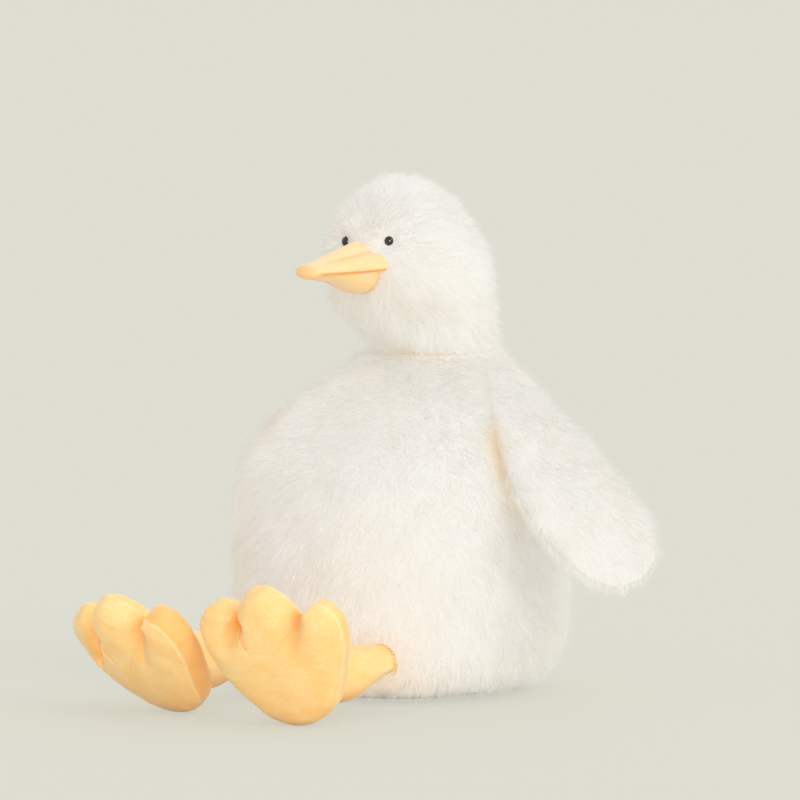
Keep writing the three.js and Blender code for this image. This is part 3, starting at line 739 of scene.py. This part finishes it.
def wing_grid(side, around=96, along=150):
    """A wing: at each share of its middle line, an oval across it whose half width and half thickness
    come from the rows, less the inset. Its broad side turns evenly from root to tip, and is dimpled."""
    share = 0.5 - 0.5 * np.cos(np.linspace(0, np.pi, along))
    sizes = np.stack(columns_at(spline(WING_ROWS, np.linspace(0, 1, 400)), share)) * WING_HALF_SIZES
    sizes = sizes * np.maximum(1 - WING_INSET / np.maximum(sizes, 1e-3), [[0.2], [0.25]])
    sizes[:, [0, -1]] = 0
    half, thick = sizes
    path = even_curve(mirrored(WING_LINES[side], side))
    path = np.column_stack([np.linspace(0, 1, len(path)), path])
    middle = np.stack(columns_at(path, share), 1)
    ahead = unit(np.gradient(middle, axis=0))
    root, tip = mirrored(WING_ACROSS, side)
    across = root * (1 - share)[:, None] + tip * share[:, None]
    across = unit(across - ahead * np.sum(across * ahead, axis=1, keepdims=True))
    turn = full_turn(around)[:, None]
    wide = (across * half[:, None])[:, None] * np.cos(turn)
    tall = (np.cross(ahead, across) * thick[:, None])[:, None] * np.sin(turn)
    grid = middle[:, None] + wide + tall
    ring = np.arange(along)
    edge = np.clip(np.minimum(ring, ring[::-1]) / 20, 0, 1)[:, None]
    return raised(grid, 1.4 * ripple(grid, 60, 11 + side, 2) * edge)


def beak_grid(rows, length, scale, folded, around=120, along=120):
    """A beak half: closed sections along -Y with their own half width, rise above and drop below the mouth.
    The upper half's section is a rounded band with a narrower arch on it, which turns into an oval toward the
    tip. Gives the grid and, for each of its points, its share of painted shade in the fold and along the mouth
    line, and of a deeper tone toward the tip."""
    low = rows[0][0]
    at = low + (1 - low) * np.sin(np.linspace(0, np.pi / 2, along))
    sizes = np.stack(columns_at(spline(rows, np.linspace(0, 1, 400)), at)) * np.reshape(scale, (3, 1))
    sizes[:, [0, -1]] = 0
    half, up, down = sizes[..., None]
    at = at[:, None]
    turn = full_turn(around)[None]
    high = np.sin(turn)
    climb = 1 - np.abs(np.arccos(np.clip(np.abs(np.cos(turn)), 0, 1)) / (np.pi / 2) - 1)
    section = spline(BEAK_SECTION, climb)
    banded = folded * ramp(at, 0.93, 0.58) * (high > 0)
    wide = np.abs(np.cos(turn)) * (1 - banded) + section[..., 0] * banded
    tall = np.abs(high) * (1 - banded) + section[..., 1] * banded
    across = half * wide * np.sign(np.cos(turn))
    over = np.where(high > 0, up, down) * tall * np.sign(high)
    grid = np.stack([across, -(BEAK_ROOT + at * length) + 0 * turn, MOUTH_HEIGHT + over], -1)
    # Painted shade in the fold and along the mouth line; toward the tip a deeper tone.
    crease = 0.35 * banded * bell(wide - 0.5, 0.07)
    mouth = bell(over + 0.6, 0.9) * (wide > 0.5) * ramp(at, 0.97, 0.87)
    return grid, np.clip(crease + mouth + 0.25 * ramp(at, 0.9, 0.98), 0, 1)


def leg_grid(side, around=72, along=90):
    """A leg: between hip and ankle, ovals whose half width, rise and drop come from the rows, ended
    by round caps, and gathered in soft rings at the hip."""
    start, end = mirrored(HIP, side) * [1, 1, 0], mirrored(ANKLE, side) * [1, 1, 0]
    length = distance(end, start)
    first, last = LEG_ROWS[0][2], LEG_ROWS[-1][2]
    reach = -first + (0.5 - 0.5 * np.cos(np.linspace(0, np.pi, along))) * (length + first + last)
    rows = columns_at(spline(LEG_ROWS, np.linspace(0, 1, 200)), np.clip(reach / length, 0, 1))
    height, half, rise, drop = np.stack(rows)[..., None]
    short = np.where(reach < 0, reach / first, np.maximum(reach - length, 0) / last)
    cap = np.sqrt(np.maximum(1 - short**2, 0))
    cap[[0, -1]] = 0
    way = unit(end - start)
    turn = full_turn(around)
    size = cap[:, None] * (1 + bell(reach - 3, 9)[:, None] * 0.035 * np.cos(9 * turn + 1.0))
    upright = height + np.where(np.sin(turn) > 0, rise, drop) * np.sin(turn) * size
    sideways = half * np.cos(turn) * size
    middle = (start + way * reach[:, None])[:, None]
    return middle + unit(np.cross(way, UP)) * sideways[..., None] + UP * upright[..., None]


def foot_place(points, side):
    """A foot's own frame stood on its heel: leaned forward, rolled, splayed and moved to its side."""
    lean, roll, splay = np.radians([FOOT_LEAN[side], FOOT_ROLL * side, FOOT_SPLAY * side])
    x, y, z = np.moveaxis(points, -1, 0)
    y, z = y * np.cos(lean) - z * np.sin(lean), y * np.sin(lean) + z * np.cos(lean)
    x, z = x * np.cos(roll) + z * np.sin(roll), -x * np.sin(roll) + z * np.cos(roll)
    x, y = x * np.cos(splay) - y * np.sin(splay), x * np.sin(splay) + y * np.cos(splay)
    return np.stack([x + HEEL[0] * side, y + HEEL[1] + FOOT_SETBACK[side], z - z.min()], -1)


def foot_grid(side, around=300, along=96):
    """A foot: at each point of the rim of three toes, a full half oval from the middle of the sole over the
    rim to the middle of the top. A groove runs in from each notch, the small toe lies back behind its groove,
    and a ridge with fine gathers follows the rim. Gives the grid and, for each of its points, its share of
    painted shade (in the grooves, beside the small toe and behind the seam) and the closeness to the seam,
    which carries a painted highlight."""
    outline = np.array(FOOT_RIM) * [FOOT_HALF_WIDTH, FOOT_LENGTH]
    centre = np.array([0, FOOT_LENGTH * FOOT_CENTRE])
    edge = even_curve(outline, closed=True, samples=around + 1)[:-1] - centre
    turn = np.linspace(0, np.pi, along)[:, None]
    high = np.abs(np.cos(turn)) ** 0.75 * np.sign(np.cos(turn))
    flat = centre + edge[None] * (np.sin(turn) ** 0.8)[..., None]
    thick = -high * FOOT_HALF_THICKNESS * np.ones(around)
    deep = np.zeros(flat.shape[:2])
    for index, end, width, depth in FOOT_GROOVES[side]:
        run = np.array(end, float) - outline[index]
        length = np.linalg.norm(run)
        way = run / length
        ahead = (flat - outline[index]) @ way
        aside = (flat - outline[index]) @ np.array([-way[1], way[0]])
        channel = bell(aside, width) * np.clip(1 - ahead / length, 0, 1) ** 1.3 * ramp(ahead, -8, -2)
        thick = thick * (1 - depth * channel)
        # Painted shade along each groove, deepest at its notch.
        deep = np.maximum(deep, channel * np.clip(0.35 + 0.65 * (1 - ahead / length), 0, 1) * (high > -0.3))
        if index == SMALL_TOE_NOTCH:
            outer = np.clip(-aside / 6 + 0.5, 0, 1) * np.clip((length + 6 - ahead) / 20, 0, 1)
            back, down, away = (outer**2 * (3 - 2 * outer) * far for far in TOE_BACK[side])
            # Painted shade beside the small toe where it lies far back.
            deep = np.maximum(deep, 0.45 * outer * bell(aside + 5, 7) * (TOE_BACK[side][0] > 5))
    pucker = np.cos(full_turn(around) * 31)
    inner = ramp(flat[..., 0] / FOOT_HALF_WIDTH, 0.3, 0.8)
    seam = np.pi / 2 + 0.12 - SEAM_FORWARD[side] * inner**2 * (3 - 2 * inner)
    ridge = bell(turn - seam, 0.045)
    # Painted shade behind the seam, on the side of the foot that lies in shade.
    deep = np.maximum(deep, SEAM_TINT[side] * inner * np.clip((turn - seam) / 0.08, 0, 1))
    gather = bell(turn - np.pi / 2, 0.4) * (0.3 + 0.7 * (flat[..., 1] > FOOT_LENGTH * 0.62))
    grid = np.stack([flat[..., 0] - away, thick + back, flat[..., 1] - down], -1)
    grid = raised(grid, 0.55 * ridge + 0.22 * pucker * gather)
    grid[[0, -1]] = grid[[0, -1]].mean(1, keepdims=True)
    return foot_place(grid, side), deep, ridge


def by_leg(points):
    """The share of painted orange light bounced from the legs onto the pile: 0.42 beside a leg, falling
    smoothly with the distance from the line between hip and ankle.
    """
    near = np.full(points.shape[:-1], 1e6)
    for _, side in SIDES:
        start, end = mirrored(HIP, side), mirrored(ANKLE, side)
        share = np.clip((points - start) @ (end - start) / np.sum((end - start) ** 2), 0, 1)[..., None]
        near = np.minimum(near, distance(points, start + share * (end - start)))
    return 0.42 * bell(np.maximum(near - 12, 0), 22)


def off_body(points):
    """How far outside the ring of the body at the point's height."""
    radius, setback = columns_at(np.array(BODY_ROWS[8:16], float), points[..., 2])
    return np.hypot(points[..., 0], points[..., 1] - setback) - radius


def by_body(points):
    """The share of painted crease shade on a wing where it lies against the body: 1 on the body's side and 0
    from a centimetre off it, below the shoulder.
    """
    return bell(np.maximum(off_body(points), 0), 9) * ramp(points[..., 2], 192, 178)


def by_wing(points):
    """The share of painted crease shade beside a wing: 0.75 against a wing and 0 from a centimetre off it,
    below the shoulder, from the distance to the nearest point of a coarse grid over each wing."""
    listed = points.reshape(-1, 3)
    near = np.full(len(listed), 1e6)
    for _, side in SIDES:
        coarse = wing_grid(side, around=24, along=44)[6:].reshape(-1, 3)
        low, high = coarse.min(0) - 20, coarse.max(0) + 20
        inside = np.flatnonzero(np.all((listed > low) & (listed < high), axis=1))
        for part in np.array_split(inside, max(len(inside) // 4000, 1)):
            near[part] = np.minimum(near[part], distance(listed[part][:, None], coarse).min(1))
    return 0.75 * bell(near.reshape(points.shape[:-1]), 8.5) * ramp(points[..., 2], 190, 176)


def by_wing_front(points, side):
    """1 where the front edge of a wing leaves the shoulder, falling smoothly with distance."""
    return bell(distance(points, mirrored([66, 10, 202], side)), 24)


def by_neck(points):
    """The share of painted crease shade under the chin: 0.75 in the crease and 0 from half a centimetre above
    or below it, fading to the back and to the left side, and lower toward that side."""
    front = ramp(points[..., 1], 30, 4) * ramp(points @ [0.78, 0.63, 0], 46, 24)
    return 0.75 * front * bell(points[..., 2] - 228.5 + 0.09 * points[..., 0], 4.6)


# Operators


def number(name, description, default, **limits):
    return FloatProperty(name=name, description=description, default=default, **limits)


def colour(name, description, default):
    return FloatVectorProperty(
        name=name, description=description, default=default, subtype="COLOR_GAMMA", min=0, max=1
    )


class PlushSettings(bpy.types.PropertyGroup):
    pile_length: number("Pile length", "Length of the longest strands", 0.0125, min=0.001, unit="LENGTH")
    pile_width: number("Strand width", "Width of a strand at its root", 0.00034, min=1e-5, unit="LENGTH")
    pile_density: number("Pile density", "Strands on each square millimetre", 0.8, min=0.05)
    pile_lean: number("Pile lean", "How far the strands lie over", 1.05, subtype="ANGLE")
    nap_depth: number("Nap depth", "Depth of the nap and wrinkles in velboa", 0.0006, unit="LENGTH")
    seed: IntProperty(name="Seed", description="Changes where each strand stands", default=7)
    pile_colour: colour("Pile", "Main colour of the pile", (0.887, 0.887, 0.882))
    pile_warm_colour: colour("Warm pile", "Warmer patches of the pile", (0.888, 0.875, 0.848))
    pile_shade_colour: colour("Pile roots", "Roots of the pile", (0.865, 0.84, 0.8))
    # Painted shade: the tan that the pile shows in creases where two parts meet.
    pile_fold_colour: colour("Pile crease shade", "Painted shade where two parts meet", (0.87, 0.73, 0.47))
    # Painted light: the orange that the legs bounce onto the pile.
    pile_blush_colour: colour("Pile bounce light", "Pile tinged by the legs", (0.98, 0.84, 0.72))
    feet_colour: colour("Feet", "Velboa of legs and feet", (1.0, 0.855, 0.6))
    feet_deep_colour: colour("Deep feet", "Creases of legs and feet", (0.995, 0.775, 0.45))
    # Painted shade in the toe notches, behind the seam and low on legs and feet.
    feet_fold_colour: colour("Feet crease shade", "Painted shade in toe notches, at the seam and low down", (0.97, 0.62, 0.22))
    beak_colour: colour("Beak", "Velboa of the beak", (1.0, 0.85, 0.66))
    beak_deep_colour: colour("Deep beak", "Creases of the beak", (0.995, 0.81, 0.55))
    # Painted shade on the mouth line and folds of the beak, and a deeper tone toward its tip.
    beak_fold_colour: colour("Beak folds", "Mouth line and folds of the beak", (0.97, 0.62, 0.25))
    thread_colour: colour("Thread", "Sewing thread at the seams", (1.0, 0.83, 0.5))
    eye_colour: colour("Eyes", "Plastic of the eyes", (0.015, 0.014, 0.013))
    ground_colour: colour("Ground", "Floor and backdrop", (0.863, 0.863, 0.816))


class PLUSH_OT_body(bpy.types.Operator):
    """Make the body's fur fabric, its pile and the round panel that it sits on"""

    bl_idname = "plush.body"
    bl_label = "Body"

    def execute(self, context):
        # Painted crease shade beside the wings and under the chin.
        def folded(points):
            return np.maximum(by_wing(points), by_neck(points))

        def keep(roots):
            clear = distance(roots, NECK) > NECK_ROOM
            for _, side in SIDES:
                clear &= distance(roots, mirrored(HIP, side) + [0, 0, 5]) > HIP_RADIUS + 1
            return clear & (roots[:, 2] > 4.5)

        def shorten(roots):
            over_seams = by_wing_front(roots, 1) + by_wing_front(roots, -1)
            return np.clip(0.9 + (roots[:, 2] - 4) / 60, 0.9, 1) + 0.55 * over_seams

        def comb(roots):
            flare = unit(roots * [1, 1, 0] - [0, 20, 0])
            lie = unit(-UP + (0.35 + 0.55 * ramp(roots[:, 2:3], 24, 10)) * flare)
            for _, side in SIDES:
                seam, way = wing_seam(side)
                near = bell(distance(roots, seam), 34)[:, None]
                lie = lie * (1 - near) + (way + [0, 0, -0.45]) * near
                near = by_wing_front(roots, side)[:, None]
                lie = lie * (1 - near) + (0.6 * way + mirrored([0.4, 0.9, -0.2], side)) * near
            return lie

        grid = body_grid()
        cover("body_fabric", "torso", "fur", ["body_skin"], grid, {"fold": folded(grid)})
        furred("body_pile", "torso", grid, comb, keep, shorten, folded, parts=4)

        turn = np.linspace(0, np.pi / 2, 14)
        rise = np.concatenate([[0, 0.5, 0.5, 0.5], 1.6 - 1.3 * np.cos(turn), [3.2, 3.3]])
        reach = np.concatenate([[0, 20, 40, 56], 58 + 3.6 * np.sin(turn), [50, 0]])
        panel = turned_rows(np.stack([rise, reach, 0 * reach], 1), 120, 60)
        cover("base_fabric", "torso", "fur", ["base_panel"], panel)
        return {"FINISHED"}


class PLUSH_OT_neck(bpy.types.Operator):
    """Make the stuffed neck and the pile in the crease around it"""

    bl_idname = "plush.neck"
    bl_label = "Neck"

    def execute(self, context):
        def keep(roots):
            return np.abs(roots[:, 2] - NECK[2]) < 9

        def shorten(roots):
            return 0.55

        def comb(roots):
            return 0 * roots - UP

        grid = neck_grid()
        # Painted crease shade under the chin, on the neck's fabric and pile.
        cover("neck_fabric", "neck", "fur", ["neck_filling"], grid, {"fold": by_neck(grid)})
        furred("neck_pile", "neck", grid, comb, keep, shorten, by_neck, offset=20, lean=50, density=2.0)
        return {"FINISHED"}


class PLUSH_OT_head(bpy.types.Operator):
    """Make the head's fur fabric and its pile, parted around the eyes and the beak"""

    bl_idname = "plush.head"
    bl_label = "Head"

    def execute(self, context):
        def off_eyes(strands, ahead=0):
            """Distance to the nearer eye, or to the place that far in front of it."""
            eyes = (eye_centre(side) + ahead * EYE_PARTING for _, side in SIDES)
            return np.min([distance(strands, eye) for eye in eyes], axis=0)

        def off_beak(roots):
            """Distance from the beak's middle as a share of its size: 1 at its edge, 9 behind the face."""
            up = roots[:, 2] - MOUTH_HEIGHT
            size = np.hypot(roots[:, 0] / 22, up / np.where(up > 0, 19, 15.5))
            return np.where(roots[:, 1] < -20, size, 9)

        def rim(roots):
            return ramp(roots[:, 2], 252, 240)

        def keep(roots):
            way = unit(comb(roots))
            clear = (distance(roots, NECK) > NECK_ROOM) & (off_beak(roots) > 0.96)
            for reach in (0, 2.5, 5, 7.5):
                clear &= off_eyes(roots + reach * way) + 0.12 * reach > 5.3
            for reach in (0, 3, 6, 9):
                for ahead in (3, 6, 9, 12):
                    clear &= off_eyes(roots + reach * way, ahead) > 4.6
            return clear

        def shorten(roots):
            by_eye = np.clip(0.28 + (off_eyes(roots) - 5) / 18, 0.28, 1)
            by_beak = np.clip(0.35 + (off_beak(roots) - 0.95) * 1.5, 0.35, 1)
            crown = 0.18 * ramp(roots[:, 2], 288, 336)
            cheek = 0.18 * ramp(roots[:, 2], 286, 261)
            uneven = 0.22 * ripple(roots, 9, 77) + 0.7 * ramp(roots[:, 0], 4, 34) - 0.1
            nape = ramp(roots[:, 1], 34, 60)
            lower = (uneven * (1 - nape) + 0.4 - 0.75 * nape) * rim(roots)
            return np.minimum(by_eye, by_beak) * (0.95 - crown + cheek + lower)

        def comb(roots):
            back = unit(roots - [0, -46.0, 296.0])
            return back - 0.35 * UP - 3.4 * UP * rim(roots)[:, None]

        grid = head_grid()
        cover("head_fabric", "head", "fur", ["head_skin"], grid)
        # Painted crease shade under the chin reaches the head's pile too.
        furred("head_pile", "head", grid, comb, keep, shorten, by_neck, offset=40, parts=2, density=1.1)
        return {"FINISHED"}


class PLUSH_OT_wings(bpy.types.Operator):
    """Make both wings' fur fabric and pile"""

    bl_idname = "plush.wings"
    bl_label = "Wings"

    def execute(self, context):
        for label, side in SIDES:
            seam, way = wing_seam(side)
            tip = mirrored(WING_LINES[side], side)[3]

            def keep(roots):
                return ((roots - seam) @ way > -17) & (off_body(roots) > -1)

            def comb(roots):
                return 0 * roots + way - 0.45 * UP

            def shorten(roots):
                out = np.clip(0.3 + ((roots - seam) @ way + 17) / 46, 0.3, 1)
                return out * np.clip(0.66 + (distance(roots, tip) - 6) / 60, 0.66, 1)

            grid = wing_grid(side)
            bend = (f"{label}_wing", seam - 12 * way, seam + 10 * way)
            solids = [f"{label}_wing_skin", f"{label}_wing_filling"]
            # Painted crease shade where the wing lies against the body.
            fold = {"fold": by_body(grid)}
            cover(f"{label}_wing_fabric", "torso", "fur", solids, grid, fold, bend)
            name, offset = f"{label}_wing_pile", 60 + side
            furred(name, "torso", grid, comb, keep, shorten, by_body, offset, lean=66, blend=bend)
        return {"FINISHED"}


class PLUSH_OT_beak(bpy.types.Operator):
    """Make both halves of the beak and the stitches at their ends"""

    bl_idname = "plush.beak"
    bl_label = "Beak"

    def execute(self, context):
        for label, sizes in BEAK_SIZES.items():
            grid, folds = beak_grid(*sizes)
            solids = [f"{label}_beak_cover", f"{label}_beak_filling"]
            # Painted shade in the beak's fold and along its mouth line, and a deeper tone at its tip.
            cover(f"{label}_beak", "head", "beak", solids, grid, {"deep": folds})

        step = np.linspace(0, 1, 9)[None, :, None]
        rear = grid[4]
        below = rear[rear[:, 2] < MOUTH_HEIGHT - 3]
        picked = below[np.linspace(0, len(below) - 1, BEAK_STITCHES).astype(int)]
        out = unit((picked - [0, picked[0, 1], MOUTH_HEIGHT - 4]) * [1, 0, 1])
        loose = np.random.default_rng(5).uniform(-1, 1, (BEAK_STITCHES, 3)) * [0.5, 1.1, 0.4]
        start, end = picked + out * 0.2 + [0, 4.4, 0], picked + out * 0.25 + [0.9, -1.6, 0.6] + loose
        arch = out[:, None] * 1.1 * np.sin(np.pi * step)
        whip = start[:, None] * (1 - step) + end[:, None] * step + arch
        dress(tubes("beak_stitches", whip, 0.34), "head", "sewing_thread")
        return {"FINISHED"}


class PLUSH_OT_eyes(bpy.types.Operator):
    """Make the two domed plastic eyes and finish their washers"""

    bl_idname = "plush.eyes"
    bl_label = "Eyes"

    def execute(self, context):
        bend = np.linspace(-1.1, np.pi / 2, 30)
        reach = np.concatenate([[-14, -14, -8], EYE_RADIUS * np.sin(bend)])
        radius = np.concatenate([[0, 1.8, 1.8], EYE_RADIUS * np.cos(bend[:-1]), [0]])
        turn = full_turn(48)[:, None]
        for label, side in SIDES:
            way = eye_way(side)
            ring = np.array([way[1], -way[0], 0]) * np.cos(turn) + UP * np.sin(turn)
            grid = (eye_centre(side) + way * reach[:, None])[:, None] + ring * radius[:, None, None]
            dome = closed_form(f"{label}_eye_dome", grid)
            dress(dome, "head", "polished_plastic", [f"{label}_eye"])
            paint(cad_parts[f"{label}_eye_washer"], "moulded_plastic")
        return {"FINISHED"}


class PLUSH_OT_legs(bpy.types.Operator):
    """Make the two velboa legs and the whip stitches that hold them"""

    bl_idname = "plush.legs"
    bl_label = "Legs"

    def execute(self, context):
        step = np.linspace(0, 1, 9)
        reach = -8.5 + 6.5 * step
        height, radius = LEG_ROWS[0][1:3]
        cap = np.sqrt(1 - (reach / radius) ** 2) * radius + 0.45 + 0.7 * np.sin(np.pi * step)
        turn = (np.linspace(-0.12 * np.pi, 1.12 * np.pi, 19)[:, None] + 0.1 * step)[..., None]
        for label, side in SIDES:
            grid = leg_grid(side)
            # Painted shade: deeper colour low on the leg, near the floor.
            deep = np.clip(0.5 * bell(grid[..., 2] - 9, 8) + 0.6 * bell(grid[..., 2], 9), 0, 0.6)
            solids = [f"{label}_leg_cover", f"{label}_leg_filling"]
            cover(f"{label}_leg", f"{label}_leg", "feet", solids, grid, {"deep": deep})
            start, end = mirrored(HIP, side) * [1, 1, 0], mirrored(ANKLE, side) * [1, 1, 0]
            way = unit(end - start)
            ring = unit(np.cross(way, UP)) * np.cos(turn) + UP * np.sin(turn)
            middle = start + height * UP + way * reach[:, None]
            stitches = tubes(f"{label}_hip_stitches", middle + ring * cap[:, None], 0.55)
            dress(stitches, f"{label}_leg", "sewing_thread")
        return {"FINISHED"}


class PLUSH_OT_feet(bpy.types.Operator):
    """Make the two three-toed feet and the seam around each"""

    bl_idname = "plush.feet"
    bl_label = "Feet"

    def execute(self, context):
        for label, side in SIDES:
            grid, deep, seam = foot_grid(side)
            grid[..., 0] += side * 1.3 * ramp(side * grid[..., 0], 16, 6)
            grid = raised(grid, 0.5 * ripple(grid, 26, 31 + side) * (grid[..., 2] > 3))
            # Painted shade: deeper colour near the floor.
            deep = np.clip(deep + 0.15 * bell(grid[..., 2], 14), 0, 1)
            solids = [f"{label}_foot_{part}" for part in ("sole", "top", "filling")]
            # The deep mark carries painted shade; the pale mark a painted highlight along the seam ridge.
            marks = {"deep": deep, "pale": seam}
            cover(f"{label}_foot", f"{label}_foot", "feet", solids, grid, marks)
        return {"FINISHED"}


class PLUSH_OT_insides(bpy.types.Operator):
    """Finish the fillings and the pellet bag inside"""

    bl_idname = "plush.insides"
    bl_label = "Insides"

    def execute(self, context):
        for name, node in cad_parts.items():
            if name.endswith("_filling"):
                paint(node, "polyester_fibre")
            elif name == "pellet_bag":
                paint(node, "cotton_bag")
        return {"FINISHED"}


def toward(bearing, height):
    """The way to something at a bearing from the duck's front and a height, both in degrees."""
    turn, tilt = np.radians([bearing, height])
    return np.array([np.sin(turn) * np.cos(tilt), -np.cos(turn) * np.cos(tilt), np.sin(tilt)])


def placed(name, data, way):
    """An object of the stage, turned so that it looks back along a way."""
    made = bpy.data.objects.new(name, data)
    bpy.context.scene.collection.objects.link(made)
    made.rotation_euler = Vector(-way).to_track_quat("-Z", "Y").to_euler()
    return made


class PLUSH_OT_stage(bpy.types.Operator):
    """Set up the pale floor, the soft light and the camera"""

    bl_idname = "plush.stage"
    bl_label = "Stage"

    def execute(self, context):
        scene = context.scene
        ground = Finish("pale_ground")
        paper = linear(scene.plush.ground_colour)
        seen = ground.node("LightPath", output="Is Camera Ray")
        for ray in ("Is Glossy Ray", "Is Transmission Ray"):
            seen = seen.joined("MAXIMUM", seen, ground.node("LightPath", output=ray))
        lit = ground.node("BsdfDiffuse", {"Color": paper})
        shown = ground.node("Emission", {"Color": paper, "Strength": PAPER_GLOW})
        mixed = ground.node("MixShader", {0: seen * 0.7, 1: lit, 2: shown})
        ground.node("OutputMaterial", {"Surface": mixed})
        corners = np.array([[-1, -1, 0], [1, -1, 0], [1, 1, 0], [-1, 1, 0]]) * FLOOR_HALF
        floor = write_mesh("floor", corners, [[0, 1, 2, 3]])
        floor.data.materials.append(ground.material)

        world = bpy.data.worlds.new("soft_room")
        world.use_nodes = True
        light = world.node_tree.nodes["Background"].inputs
        light["Color"].default_value = (1.0, 1.0, 1.0, 1)
        light["Strength"].default_value = ROOM_LIGHT
        scene.world = world
        for name, bearing, height, strength, spread, tint in LAMPS:
            lamp = bpy.data.lights.new(name, "SUN")
            lamp.energy, lamp.angle, lamp.color = strength, np.radians(spread), tint
            lamp.use_shadow = name != "front"
            placed(name, lamp, toward(bearing, height))

        view = bpy.data.cameras.new("photo_view")
        view.lens, view.sensor_width = VIEW_LENS, VIEW_SENSOR
        view.clip_end = 100.0
        view.shift_x = VIEW_SHIFT
        way = toward(VIEW_BEARING, VIEW_HEIGHT)
        scene.camera = placed("photo_view", view, way)
        scene.camera.location = VIEW_TARGET + VIEW_DISTANCE * way
        scene.view_settings.view_transform = "Standard"
        return {"FINISHED"}


class PLUSH_PT_panel(bpy.types.Panel):
    bl_label = "Plush duck"
    bl_idname = "PLUSH_PT_panel"
    bl_space_type = "VIEW_3D"
    bl_region_type = "UI"
    bl_category = "Plush"

    def draw(self, context):
        for name in PlushSettings.__annotations__:
            self.layout.prop(context.scene.plush, name)
        for operator in OPERATORS:
            self.layout.operator(operator.bl_idname)


OPERATORS = (
    PLUSH_OT_body, PLUSH_OT_neck, PLUSH_OT_head, PLUSH_OT_wings, PLUSH_OT_beak, PLUSH_OT_eyes,
    PLUSH_OT_legs, PLUSH_OT_feet, PLUSH_OT_insides, PLUSH_OT_stage,
)
CLASSES = (PlushSettings, *OPERATORS, PLUSH_PT_panel)


def register():
    for each in CLASSES:
        bpy.utils.register_class(each)
    bpy.types.Scene.plush = PointerProperty(type=PlushSettings)


def unregister():
    del bpy.types.Scene.plush
    for each in reversed(CLASSES):
        bpy.utils.unregister_class(each)


def main():
    register()
    for step in (
        bpy.ops.plush.body, bpy.ops.plush.neck, bpy.ops.plush.head, bpy.ops.plush.wings, bpy.ops.plush.beak,
        bpy.ops.plush.eyes, bpy.ops.plush.legs, bpy.ops.plush.feet, bpy.ops.plush.insides, bpy.ops.plush.stage,
    ):
        step()


if __name__ == "__main__":
    main()
